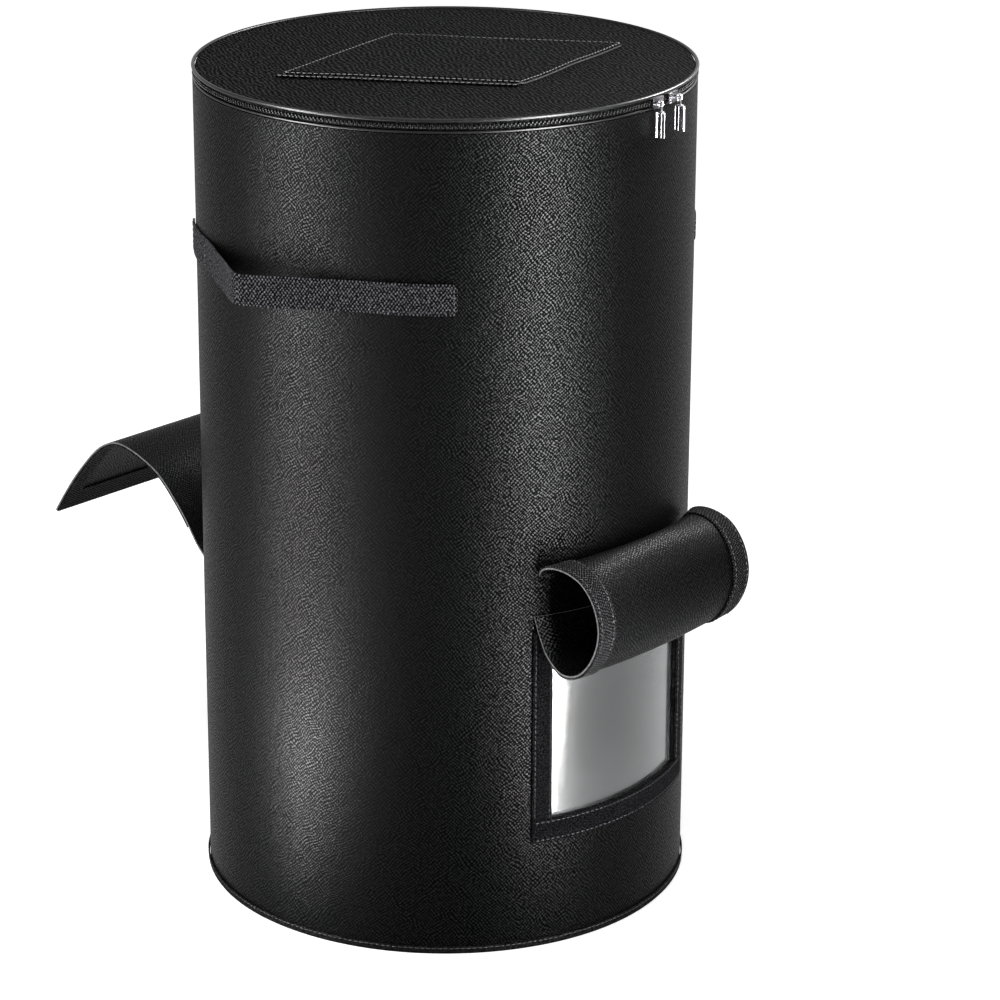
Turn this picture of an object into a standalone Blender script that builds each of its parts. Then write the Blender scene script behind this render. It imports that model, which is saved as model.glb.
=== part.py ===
# Fabric compost bin: a tube of heavy fabric with a zipped lid, a hatch in the lid, two clear windows under
# rolled-up flaps, and two webbing handles. Metres, +Z up, origin at the middle of the base on the floor.
# The front window faces -Y, the handles are at -X and +X.

import bpy
import bmesh
from math import acos, atan2, ceil, cos, degrees, hypot, pi, radians, sin, sqrt, tan
from mathutils import Matrix, Vector

# Whole bin
bin_radius = 0.175
bin_height = 0.600
turn_steps = 72
fabric = 0.0020
seat_gap = 0.0003
curve_gap = 0.0005

# Foot
base_thickness = 0.0025
binding_height = 0.0055
binding_thickness = 0.0010
seam_tape_width = 0.014
seam_tape_thickness = 0.0010
seam_tape_end = 0.010

# Lid, its hinge and the zip
lid_thickness = 0.0014
piping_radius = 0.0013
piping_proud = 0.0008
rim_piping_radius = 0.0009
lid_axis_angle = radians(-71.5)
hinge_half_angle = radians(20.0)
lid_end_margin = radians(2.0)
zip_end_angle = radians(152.0)
zip_tape_margin = radians(0.3)
zip_tape_height = 0.0024
zip_tape_thickness = 0.0009
zip_tape_inset = 0.0017
tooth_pitch = 0.0074
tooth_height = 0.0015
tooth_root = 0.0036
tooth_tip = 0.0024
tooth_thickness = 0.0010
tooth_inset = 0.0002
tooth_band = 0.0004
chain_gap = 0.0004
stop_length = 0.0035

# Zip sliders and pulls
slider_meeting_angle = radians(-81.3)
slider_length = 0.0125
slider_height = 0.0072
slider_plate = 0.0012
slider_stand_off = 0.0016
slider_nose_gap = 0.0035
slider_flange = 0.0007
bail_radius = 0.0007
bail_span = 0.0052
bail_reach = 0.0032
bail_corner = 0.0008
bail_offset_share = 0.18
pull_width = 0.0090
pull_length = 0.0185
pull_thickness = 0.0016
pull_corner = 0.0016
pull_collar_radius = 0.0024
pull_hole_radius = 0.00115
pull_groove_width = 0.0011
pull_groove_depth = 0.0004
pull_groove_margin = 0.0025
pull_groove_offset = 0.0013
pull_neck_slope = 0.0012

# Hatch in the lid
hatch_axis_angle = radians(-57.8)
hatch_length = 0.166
hatch_width = 0.1345
hatch_skew = radians(20.8)
hatch_shift_along = 0.0067
hatch_shift_across = 0.0013
hatch_hole_margin = 0.002
hatch_tape_margin = 0.0015
hatch_tape_width = 0.018
hatch_thickness = 0.0010
hatch_corner = 0.004
thin_tape = 0.0005
hatch_seam_width = 0.006
hatch_seam_corner = 0.001

# Windows
frame_half_angle = radians(27.5)
side_tape_width = 0.0147
bottom_tape_width = 0.0170
loop_tape_thickness = 0.0014
window_height = 0.170
front_root_height = 0.250
back_root_height = 0.203
opening_top_margin = 0.012
opening_cut_reach = 0.004
film_thickness = 0.0006
film_overlap = 0.010

# Window flaps and their hook tapes
flap_thickness = 0.0012
front_flap_length = 0.178
back_flap_length = 0.226
hook_tape_thickness = 0.0008
hook_tape_width = 0.0165
roll_press_start = 0.005
roll_press_end = 0.047
roll_press_power = 1.5
roll_swell = 0.08
flap_columns = 10
front_flap_rows = 26
back_flap_rows = 22
flap_flatten_length = 0.060
hook_start_row = 3
hook_end_rows = 2

# Webbing handles
handle_height = 0.478
webbing_width = 0.0215
webbing_thickness = 0.0016
handle_free_angle = radians(25.5)
handle_pad_arc = 0.060
handle_apex = 0.028
handle_crease_angle = radians(13.0)
handle_crease_gap = 0.0005
handle_bend_drop = 0.0025
handle_bend_side = 0.008
strap_steps = 16

# Heights and radii that follow from the sizes above
lid_piping_z = bin_height - piping_radius
lid_tape_top = lid_piping_z - piping_radius - seat_gap
tape_start = chain_gap / 2
chain_z = lid_tape_top - zip_tape_height - tape_start
rim_piping_z = chain_z - tape_start - zip_tape_height - seat_gap - rim_piping_radius
wall_top = rim_piping_z - rim_piping_radius - seat_gap
lid_top = lid_piping_z - piping_radius + lid_thickness
lid_piping_ring = bin_radius + piping_proud - piping_radius
lid_edge_radius = lid_piping_ring - piping_radius - curve_gap
hinge_chord = bin_radius * cos(hinge_half_angle)
tooth_outer = bin_radius - tooth_inset
tape_outer = bin_radius - zip_tape_inset
slider_radius = bin_radius + slider_stand_off
bail_centre = slider_radius + slider_plate + bail_reach
pull_shoulder = -slider_height / 2 - chain_gap - pull_neck_slope
frame_half_width = bin_radius * sin(frame_half_angle)
frame_sag = bin_radius * (1 - cos(frame_half_angle))
opening_half_angle = frame_half_angle - side_tape_width / bin_radius


# Scene, collections and materials

for old in list(bpy.data.objects):
    bpy.data.objects.remove(old, do_unlink=True)

parts = bpy.data.collections.new("fabric_compost_bin")
cutters = bpy.data.collections.new("cutters")
bpy.context.scene.collection.children.link(parts)
bpy.context.scene.collection.children.link(cutters)

fabric_black = ((0.012, 0.012, 0.013), 0.85, 0.0)
tape_black = ((0.020, 0.020, 0.024), 0.95, 0.0)
webbing_black = ((0.030, 0.030, 0.034), 0.90, 0.0)
piping_black = ((0.018, 0.018, 0.019), 0.70, 0.0)
zip_black = ((0.016, 0.016, 0.018), 0.45, 0.0)
chrome = ((0.80, 0.81, 0.82), 0.12, 1.0)
clear_film = ((0.90, 0.92, 0.93), 0.10, 0.0)


def finish(name, look):
    colour, roughness, metallic = look
    material = bpy.data.materials.new(name + "_finish")
    material.use_nodes = True
    shader = material.node_tree.nodes["Principled BSDF"]
    shader.inputs["Base Color"].default_value = (*colour, 1.0)
    shader.inputs["Roughness"].default_value = roughness
    shader.inputs["Metallic"].default_value = metallic
    if look is clear_film:
        shader.inputs["Alpha"].default_value = 0.35
    return material


def add_part(name, mesh, look, smooth=True):
    part = bpy.data.objects.new(name, mesh)
    parts.objects.link(part)
    mesh.materials.append(finish(name, look))
    if smooth:
        mesh.shade_smooth()
        mesh.set_sharp_from_angle(angle=radians(35))
    return part


def add_cutter(name, mesh):
    cutter = bpy.data.objects.new(name, mesh)
    cutters.objects.link(cutter)
    cutter.hide_render = True
    cutter.display_type = "WIRE"
    return cutter


def mesh_from(bm, name):
    mesh = bpy.data.meshes.new(name)
    bm.to_mesh(mesh)
    bm.free()
    return mesh


def solidify(part, thickness, offset=1.0):
    shell = part.modifiers.new("thickness", "SOLIDIFY")
    shell.thickness = thickness
    shell.offset = offset
    shell.use_even_offset = True
    return shell


def boolean(part, other, operation):
    step = part.modifiers.new(operation.lower(), "BOOLEAN")
    step.operation = operation
    step.object = other
    step.solver = "EXACT"
    return step


# Shapes that more than one piece uses

def sheet_mesh(name, columns, rows, place):
    """A grid whose point (u, v), both from 0 to 1, lies at place(u, v)."""
    bm = bmesh.new()
    bmesh.ops.create_grid(bm, x_segments=columns, y_segments=rows, size=0.5)
    for vert in bm.verts:
        u = round((vert.co.x + 0.5) * columns) / columns
        v = round((vert.co.y + 0.5) * rows) / rows
        vert.co = place(u, v)
    return mesh_from(bm, name)


def arc_steps(sweep):
    return max(1, ceil(abs(sweep) / (2 * pi / turn_steps) - 0.001))


def arc_patch_mesh(name, start, end, low, high, radius):
    """An upright strip of a round wall, facing outward."""
    def place(u, v):
        angle = start + (end - start) * u
        return Vector((radius * cos(angle), radius * sin(angle), low + (high - low) * v))
    return sheet_mesh(name, arc_steps(end - start), 1, place)


def arc_patch(name, start, end, low, high, radius, thickness, look):
    part = add_part(name, arc_patch_mesh(name, start, end, low, high, radius), look)
    solidify(part, thickness)
    return part


def turned_band(name, low, high, radius, thickness, look, offset=1.0):
    """A full ring: an upright line turned round Z, from top to bottom on its outer side."""
    bm = bmesh.new()
    top = bm.verts.new((radius, 0, high))
    bottom = bm.verts.new((radius, 0, low))
    bm.edges.new((top, bottom))
    part = add_part(name, mesh_from(bm, name), look, smooth=False)
    turn = part.modifiers.new("turn", "SCREW")
    turn.steps = turn_steps
    turn.render_steps = turn_steps
    turn.use_merge_vertices = True
    turn.merge_threshold = 0.0001
    turn.use_smooth_shade = True
    solidify(part, thickness, offset)
    return part


def arc_points(radius, start, end):
    count = arc_steps(end - start)
    return [(radius * cos(start + (end - start) * i / count), radius * sin(start + (end - start) * i / count))
            for i in range(count + 1)]


def tube(name, points, radius, look, resolution=1):
    curve = bpy.data.curves.new(name, "CURVE")
    curve.dimensions = "3D"
    curve.bevel_depth = radius
    curve.bevel_resolution = resolution
    curve.use_fill_caps = True
    spline = curve.splines.new("POLY")
    spline.points.add(len(points) - 1)
    for point, place in zip(spline.points, points):
        point.co = (*place, 1.0)
    part = bpy.data.objects.new(name, curve)
    parts.objects.link(part)
    curve.materials.append(finish(name, look))
    return part


def plate_mesh(name, outlines, thickness):
    """A flat plate in the XY plane, its middle at z = 0, from closed outlines: the first outer, others holes."""
    curve = bpy.data.curves.new(name, "CURVE")
    curve.dimensions = "2D"
    curve.fill_mode = "BOTH"
    curve.extrude = thickness / 2
    for outline in outlines:
        spline = curve.splines.new("POLY")
        spline.points.add(len(outline) - 1)
        for point, place in zip(spline.points, outline):
            point.co = (place[0], place[1], 0.0, 1.0)
        spline.use_cyclic_u = True
    holder = bpy.data.objects.new(name + "_outline", curve)
    cutters.objects.link(holder)
    mesh = bpy.data.meshes.new_from_object(holder.evaluated_get(bpy.context.evaluated_depsgraph_get()))
    bpy.data.objects.remove(holder, do_unlink=True)
    bm = bmesh.new()
    bm.from_mesh(mesh)
    bmesh.ops.remove_doubles(bm, verts=bm.verts, dist=0.00001)
    bmesh.ops.recalc_face_normals(bm, faces=bm.faces)
    mesh.materials.clear()
    bm.to_mesh(mesh)
    bm.free()
    mesh.name = name
    return mesh


def rounded_rectangle(length, width, corner, steps=4):
    points = []
    for quarter, (sx, sy) in enumerate(((1, 1), (-1, 1), (-1, -1), (1, -1))):
        for i in range(steps + 1):
            angle = (quarter + i / steps) * pi / 2
            points.append((sx * (length / 2 - corner) + corner * cos(angle),
                           sy * (width / 2 - corner) + corner * sin(angle)))
    return points


def box_mesh(name, size, centre):
    bm = bmesh.new()
    bmesh.ops.create_cube(bm, size=1.0)
    for vert in bm.verts:
        vert.co = Vector(centre) + Vector([a * b for a, b in zip(vert.co, size)])
    return mesh_from(bm, name)


def smooth_path(points, count):
    """Points evenly spaced by length along a smooth curve through the given (x, y) points."""
    ends = [(2 * points[0][0] - points[1][0], 2 * points[0][1] - points[1][1])]
    tail = [(2 * points[-1][0] - points[-2][0], 2 * points[-1][1] - points[-2][1])]
    knots = ends + list(points) + tail
    fine = []
    for a, b, c, d in zip(knots, knots[1:], knots[2:], knots[3:]):
        for i in range(24):
            t = i / 24
            fine.append(tuple(0.5 * (2 * q + (r - p) * t + (2 * p - 5 * q + 4 * r - s) * t * t
                                     + (3 * q - p - 3 * r + s) * t ** 3) for p, q, r, s in zip(a, b, c, d)))
    fine.append(tuple(points[-1]))
    return resample(fine, count)


def resample(line, count, length=None):
    runs = [0.0]
    for a, b in zip(line, line[1:]):
        runs.append(runs[-1] + hypot(b[0] - a[0], b[1] - a[1]))
    length = min(length or runs[-1], runs[-1])
    places = []
    k = 0
    for i in range(count + 1):
        target = length * i / count
        while k < len(runs) - 2 and runs[k + 1] < target:
            k += 1
        share = min(1.0, (target - runs[k]) / (runs[k + 1] - runs[k]))
        places.append(tuple(p + (q - p) * share for p, q in zip(line[k], line[k + 1])))
    return places


# Bin body

def make_foot():
    bm = bmesh.new()
    panel_radius = bin_radius - fabric - curve_gap
    bmesh.ops.create_cone(bm, cap_ends=True, segments=turn_steps, radius1=panel_radius,
                          radius2=panel_radius, depth=base_thickness)
    bmesh.ops.translate(bm, verts=bm.verts, vec=(0, 0, base_thickness / 2))
    add_part("base_panel", mesh_from(bm, "base_panel"), fabric_black)
    turned_band("base_binding", seat_gap, binding_height, bin_radius + curve_gap, binding_thickness, tape_black)
    half = seam_tape_width / 2 / bin_radius
    outer = bin_radius - fabric - curve_gap
    arc_patch("side_seam_tape", -half, half, seam_tape_end, wall_top - seam_tape_end,
              outer - seam_tape_thickness, seam_tape_thickness, tape_black)


def make_wall(windows):
    wall = turned_band("body_wall", 0.0, wall_top, bin_radius, fabric, fabric_black, offset=-1.0)
    for window in windows:
        mesh = arc_patch_mesh(window["name"] + "_cutter", window["angle"] - opening_half_angle,
                              window["angle"] + opening_half_angle, window["opening_low"],
                              window["opening_high"], bin_radius - fabric - opening_cut_reach)
        cutter = add_cutter(window["name"] + "_cutter", mesh)
        solidify(cutter, fabric + 2 * opening_cut_reach)
        boolean(wall, cutter, "DIFFERENCE")


def make_window(window):
    name = window["name"]
    middle = window["angle"]
    tape_radius = bin_radius + curve_gap
    low = window["opening_low"] - bottom_tape_width
    bottom_top = window["opening_low"]
    tape_angle = side_tape_width / bin_radius
    arc_patch(name + "_loop_tape_bottom", middle - frame_half_angle, middle + frame_half_angle,
              low, bottom_top, tape_radius, loop_tape_thickness, tape_black)
    for side, sign in (("left", -1), ("right", 1)):
        outer = middle + sign * frame_half_angle
        inner = outer - sign * tape_angle
        arc_patch(f"{name}_loop_tape_{side}", min(outer, inner), max(outer, inner), bottom_top + seat_gap,
                  window["opening_high"], tape_radius, loop_tape_thickness, tape_black)
    film_half = opening_half_angle + film_overlap / bin_radius
    film_outer = bin_radius - fabric - curve_gap
    arc_patch(name + "_window_film", middle - film_half, middle + film_half,
              window["opening_low"] - film_overlap, window["opening_high"] + film_overlap,
              film_outer - film_thickness, film_thickness, clear_film)


# Window flaps: a cross-section, straight across the flap, that meets the round wall at its root

def roll_section():
    """The rolled-up flap seen from its end: (distance from the wall, height over the root)."""
    return [(0.0000, 0.000), (0.0045, -0.012), (0.0120, -0.026), (0.0250, -0.0355), (0.0400, -0.032),
            (0.0520, -0.017), (0.0570, 0.002), (0.0525, 0.021), (0.0400, 0.035), (0.0210, 0.0395),
            (0.0060, 0.035), (0.0036, 0.022), (0.0040, 0.008)]


def arch_section():
    """The lifted flap seen from its edge: (distance from the wall, height over the root)."""
    return [(0.0000, 0.000), (0.0080, 0.012), (0.0150, 0.032), (0.0260, 0.048), (0.0417, 0.062),
            (0.0600, 0.0705), (0.0775, 0.075), (0.0915, 0.074), (0.1080, 0.0647), (0.1280, 0.044),
            (0.1440, 0.0238), (0.1610, -0.001)]


def sag(across):
    return bin_radius - sqrt(bin_radius ** 2 - across ** 2)


def front_flap_line(across):
    """The roll is straight in front. The wall bulges into its back, where the cloth is pressed up and down."""
    bulge = frame_sag - sag(across)
    swell = 1 + roll_swell * bulge / frame_sag
    pressed = []
    for n, z in smooth_path(roll_section(), 300):
        depth = min(1.0, max(0.0, (n - roll_press_start) / (roll_press_end - roll_press_start)))
        pressed.append((n - frame_sag + bulge * (1 - depth) ** roll_press_power, z * swell))
    return resample(pressed, front_flap_rows, front_flap_length)


def back_flap_line(across):
    """The arch is straight across, and flattens from the wall's curve over its first stretch."""
    line = resample(smooth_path(arch_section(), 300), back_flap_rows, back_flap_length)
    step = back_flap_length / back_flap_rows
    return [(n - sag(across) * max(0.0, 1 - i * step / flap_flatten_length) ** 2, z)
            for i, (n, z) in enumerate(line)]


def flap_columns_across():
    """Column places, with one at each inner edge of the side tapes."""
    inner = frame_half_width - hook_tape_width
    count = flap_columns - 2
    middle = [-inner + 2 * inner * i / count for i in range(count + 1)]
    return [-frame_half_width] + middle + [frame_half_width]


def make_flap(window, line_at, rows, length):
    name = window["name"]
    middle = window["angle"]
    outward = Vector((cos(middle), sin(middle), 0))
    along = Vector((-sin(middle), cos(middle), 0))
    root = window["root"]
    seat = bin_radius + curve_gap + flap_thickness / 2
    columns = flap_columns_across()
    lines = [line_at(across) for across in columns]

    def middle_point(i, j):
        n, z = lines[i][j]
        return outward * (seat + n) + along * columns[i] + Vector((0, 0, root + z))

    def point(i, j, lift):
        """Column i, row j, lifted off the cloth's middle surface toward its inner face."""
        across = middle_point(min(flap_columns, i + 1), j) - middle_point(max(0, i - 1), j)
        down = middle_point(i, min(rows, j + 1)) - middle_point(i, max(0, j - 1))
        return middle_point(i, j) + across.cross(down).normalized() * lift

    def cloth(u, v):
        return point(round(u * flap_columns), round(v * rows), 0.0)

    pivot = Vector(window["pivot"])
    flap = add_part(name + "_flap", sheet_mesh(name + "_flap", flap_columns, rows, cloth), fabric_black)
    solidify(flap, flap_thickness, 0.0)
    flap.data.transform(Matrix.Translation(-pivot))
    flap.location = pivot

    lift = flap_thickness / 2 + curve_gap + hook_tape_thickness / 2
    end_row = rows - hook_end_rows
    strips = {"left": (0, 1, hook_start_row, end_row), "right": (flap_columns - 1, flap_columns, hook_start_row,
                                                                 end_row),
              "bottom": (0, flap_columns, end_row, rows)}
    for side, (i0, i1, j0, j1) in strips.items():
        def tape(u, v, i0=i0, i1=i1, j0=j0, j1=j1, side=side):
            i = i0 + round(u * (i1 - i0))
            j = j0 + round(v * (j1 - j0))
            place = point(i, j, lift)
            if side == "bottom" and j == j0:
                place = place.lerp(point(i, j + 1, lift), seat_gap * rows / length)
            return place
        mesh = sheet_mesh(f"{name}_hook_tape_{side}", i1 - i0, j1 - j0, tape)
        strip = add_part(f"{name}_hook_tape_{side}", mesh, tape_black)
        solidify(strip, hook_tape_thickness, 0.0)
        mesh.transform(Matrix.Translation(-pivot))
        strip.location = pivot


# Rim, zip and lid

def zip_chain(name, upward, look):
    """One row of teeth on its band, bent round the rim. The other row's teeth stand in its gaps."""
    count = round(2 * zip_end_angle * bin_radius / tooth_pitch)
    pitch = 2 * zip_end_angle * bin_radius / count
    sign = -1 if upward else 1
    root_z = chain_z + sign * (tooth_height / 2 + chain_gap / 2)
    tip_z = root_z - sign * tooth_height
    band_z = root_z + sign * tooth_band
    shift = pitch / 2 if upward else 0.0
    start = -zip_end_angle * bin_radius
    radius = tooth_outer - tooth_thickness
    bm = bmesh.new()

    def vert(along, z):
        angle = lid_axis_angle + (start + along) / bin_radius
        return bm.verts.new((radius * cos(angle), radius * sin(angle), z))

    total = count - 1 if upward else count
    lead = (pitch - tooth_root) / 2
    band = vert(shift + lead, band_z)
    root = vert(shift + lead, root_z)
    for k in range(total):
        left = shift + k * pitch + lead
        slope = (tooth_root - tooth_tip) / 2
        tip_a = vert(left + slope, tip_z)
        tip_b = vert(left + tooth_root - slope, tip_z)
        root_b = vert(left + tooth_root, root_z)
        last = k == total - 1
        next_left = left + tooth_root if last else left + pitch
        next_band = vert(next_left, band_z)
        next_root = root_b if last else vert(next_left, root_z)
        loop = [band, root, tip_a, tip_b, root_b] + ([] if last else [next_root]) + [next_band]
        bm.faces.new(loop)
        band, root = next_band, next_root
    bmesh.ops.recalc_face_normals(bm, faces=bm.faces)
    outward = bm.faces[:]
    outward[0].normal_update()
    centre = outward[0].calc_center_median()
    if outward[0].normal.dot(Vector((centre.x, centre.y, 0))) < 0:
        bmesh.ops.reverse_faces(bm, faces=bm.faces)
    part = add_part(name, mesh_from(bm, name), look, smooth=False)
    solidify(part, tooth_thickness)
    return part


def make_rim():
    tape_radius = tape_outer - zip_tape_thickness
    body_end = pi - hinge_half_angle - zip_tape_margin
    low = chain_z - tape_start - zip_tape_height
    arc_patch("body_zip_tape", lid_axis_angle - body_end, lid_axis_angle + body_end, low, chain_z - tape_start,
              tape_radius, zip_tape_thickness, tape_black)
    zip_chain("body_zip_teeth", True, zip_black)
    ring = arc_points(bin_radius - rim_piping_radius, lid_axis_angle - body_end, lid_axis_angle + body_end)
    tube("rim_piping", [(x, y, rim_piping_z) for x, y in ring], rim_piping_radius, piping_black)
    stop_arc = stop_length / bin_radius
    for side, sign in (("left", -1), ("right", 1)):
        inner = lid_axis_angle + sign * (zip_end_angle + seat_gap / bin_radius)
        outer = inner + sign * stop_arc
        arc_patch("zip_stop_" + side, min(inner, outer), max(inner, outer), chain_z - zip_tape_height,
                  chain_z - chain_gap, tooth_outer - tooth_thickness, tooth_thickness + chain_gap, zip_black)


def make_hinge_panel():
    """The strip of lid behind the fold, with a skirt down to the wall."""
    hinge_angle = lid_axis_angle + pi
    edge = hinge_chord + seat_gap / 2
    radius = bin_radius - curve_gap
    half = acos(edge / radius)
    outline = arc_points(radius, hinge_angle - half, hinge_angle + half)
    mesh = plate_mesh("lid_hinge_panel", [outline], lid_thickness)
    mesh.transform(Matrix.Translation(Vector((0, 0, lid_top - lid_thickness / 2))))
    panel = add_part("lid_hinge_panel", mesh, fabric_black)
    skirt_half = acos((edge + curve_gap) / (radius - fabric))
    mesh = arc_patch_mesh("hinge_skirt", hinge_angle - skirt_half, hinge_angle + skirt_half, wall_top + seat_gap,
                          lid_top - lid_thickness / 2, radius - fabric)
    skirt = add_cutter("hinge_skirt", mesh)
    solidify(skirt, fabric - curve_gap)
    boolean(panel, skirt, "UNION")


def lid_place(along, across):
    """A point on the lid, measured along its axis and across it."""
    u = Vector((cos(lid_axis_angle), sin(lid_axis_angle)))
    v = Vector((-sin(lid_axis_angle), cos(lid_axis_angle)))
    p = u * along + v * across
    return (p.x, p.y)


def hatch_place(along, across):
    """A point on the hatch, from its middle: along its hinge edge, and square to it. The hatch is skewed."""
    u = Vector((cos(hatch_axis_angle), sin(hatch_axis_angle)))
    v = Vector((-sin(hatch_axis_angle), cos(hatch_axis_angle)))
    p = u * (hatch_shift_along + along + across * tan(hatch_skew)) + v * (hatch_shift_across + across)
    return (p.x, p.y)


def hatch_outline(length, width, corner, across=0.0):
    return [hatch_place(a, across + b) for a, b in rounded_rectangle(length, width, corner)]


def hatch_inner_size():
    """The space inside the hatch's tapes, whose width is measured square to their edges."""
    return (hatch_length - 2 * hatch_tape_width / cos(hatch_skew), hatch_width - 2 * hatch_tape_width)


def lid_pivot():
    return Vector((*lid_place(-hinge_chord, 0.0), bin_height))


def hatch_pivot():
    return Vector((*hatch_place(0.0, -hatch_width / 2), hatch_top()))


def tape_top():
    return lid_top + seat_gap + thin_tape


def hatch_top():
    return tape_top() + seat_gap + thin_tape + seat_gap + hatch_thickness


def place_flat(name, outlines, thickness, top, look, pivot):
    mesh = plate_mesh(name, outlines, thickness)
    mesh.transform(Matrix.Translation(Vector((0, 0, top - thickness / 2)) - pivot))
    part = add_part(name, mesh, look)
    part.location = pivot
    return part


def make_lid():
    pivot = lid_pivot()
    lid_end = pi - hinge_half_angle - lid_end_margin
    edge = hinge_chord - seat_gap / 2
    half = pi - acos(edge / lid_edge_radius)
    outline = arc_points(lid_edge_radius, lid_axis_angle - half, lid_axis_angle + half)
    inner_length, inner_width = hatch_inner_size()
    hole = hatch_outline(inner_length - 2 * hatch_hole_margin, inner_width - 2 * hatch_hole_margin, hatch_corner)
    place_flat("lid_panel", [outline, hole], lid_thickness, lid_top, fabric_black, pivot)
    ring = arc_points(lid_piping_ring, lid_axis_angle - lid_end, lid_axis_angle + lid_end)
    piping = tube("lid_piping", [(x - pivot.x, y - pivot.y, lid_piping_z - pivot.z) for x, y in ring],
                  piping_radius, piping_black)
    piping.location = pivot
    tape = arc_patch("lid_zip_tape", lid_axis_angle - lid_end, lid_axis_angle + lid_end, chain_z + tape_start,
                     lid_tape_top, tape_outer - zip_tape_thickness, zip_tape_thickness, tape_black)
    teeth = zip_chain("lid_zip_teeth", False, zip_black)
    for part in (tape, teeth):
        part.data.transform(Matrix.Translation(-pivot))
        part.location = pivot


def make_hatch():
    pivot = lid_pivot()
    inner = hatch_outline(*hatch_inner_size(), hatch_corner)
    outer = hatch_outline(hatch_length - 2 * hatch_tape_margin, hatch_width - 2 * hatch_tape_margin, hatch_corner)
    place_flat("hatch_loop_tape", [outer, inner], thin_tape, tape_top(), tape_black, pivot)
    seam_across = -hatch_width / 2 - seat_gap - hatch_seam_width / 2
    seam = hatch_outline(hatch_length, hatch_seam_width, hatch_seam_corner, across=seam_across)
    place_flat("hatch_seam_tape", [seam], hatch_thickness, lid_top + seat_gap + hatch_thickness, fabric_black, pivot)
    pivot = hatch_pivot()
    place_flat("hatch_hook_tape", [outer, inner], thin_tape, tape_top() + seat_gap + thin_tape, tape_black, pivot)
    flap = hatch_outline(hatch_length, hatch_width, hatch_corner)
    place_flat("hatch_flap", [flap], hatch_thickness, hatch_top(), fabric_black, pivot)


# Sliders and pulls, drawn with +X outward, +Y round the rim and +Z up

def slider_angle(sign):
    return slider_meeting_angle + sign * (slider_nose_gap + slider_length / 2) / bin_radius


def make_slider(side, sign):
    angle = slider_angle(sign)
    half = slider_length / 2 / bin_radius
    name = "zip_slider_" + side
    mesh = arc_patch_mesh(name, -half, half, chain_z - slider_height / 2, chain_z + slider_height / 2,
                          slider_radius)
    slider = add_part(name, mesh, chrome)
    solidify(slider, slider_plate)
    slider.rotation_euler[2] = angle
    lower = chain_z - tooth_height / 2 - chain_gap / 2 - tooth_band - chain_gap
    upper = chain_z + tooth_height / 2 + chain_gap / 2 + tooth_band + chain_gap
    flanges = (("lower", lower - slider_flange, lower, tooth_outer - tooth_thickness),
               ("upper", upper, upper + slider_flange, tooth_outer + chain_gap + curve_gap / 2))
    for edge, low, high, inner in flanges:
        flange = arc_patch_mesh(f"{name}_{edge}", -half, half, low, high, inner)
        cutter = add_cutter(f"{name}_{edge}", flange)
        solidify(cutter, slider_radius + slider_plate / 2 - inner)
        cutter.rotation_euler[2] = angle
        boolean(slider, cutter, "UNION")
    foot = slider_radius + slider_plate / 2
    y = bail_offset(sign)
    low, high = y - bail_span / 2, y + bail_span / 2
    bail = [(foot, low), (bail_centre - bail_corner, low), (bail_centre, low + bail_corner),
            (bail_centre, high - bail_corner), (bail_centre - bail_corner, high), (foot, high)]
    bar = curve_mesh(name + "_bail", [(a, b, chain_z) for a, b in bail], bail_radius)
    cutter = add_cutter(name + "_bail", bar)
    cutter.rotation_euler[2] = angle
    boolean(slider, cutter, "UNION")


def bail_offset(sign):
    return sign * slider_length * bail_offset_share


def curve_mesh(name, points, radius):
    holder = tube(name + "_path", points, radius, chrome, resolution=1)
    mesh = bpy.data.meshes.new_from_object(holder.evaluated_get(bpy.context.evaluated_depsgraph_get()))
    bpy.data.objects.remove(holder, do_unlink=True)
    bm = bmesh.new()
    bm.from_mesh(mesh)
    bmesh.ops.remove_doubles(bm, verts=bm.verts, dist=0.00001)
    bmesh.ops.recalc_face_normals(bm, faces=bm.faces)
    bm.to_mesh(mesh)
    bm.free()
    return mesh


def pull_outline():
    """The pull from its side: a round collar, a neck, shoulders and a long plate with rounded corners."""
    half = pull_width / 2
    corner = pull_corner
    shoulder = pull_shoulder
    neck = pull_collar_radius
    points = [(neck * cos(a * pi / 6), neck * sin(a * pi / 6)) for a in range(0, 7)]
    points += [(-neck, shoulder + pull_neck_slope), (-half, shoulder)]
    bottom = shoulder - pull_length
    for quarter, sx in ((2, -1), (3, 1)):
        for i in range(4):
            a = (quarter + i / 3) * pi / 2
            points.append((sx * (half - corner) + corner * cos(a), bottom + corner + corner * sin(a)))
    points += [(half, shoulder), (neck, shoulder + pull_neck_slope)]
    return points


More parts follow.
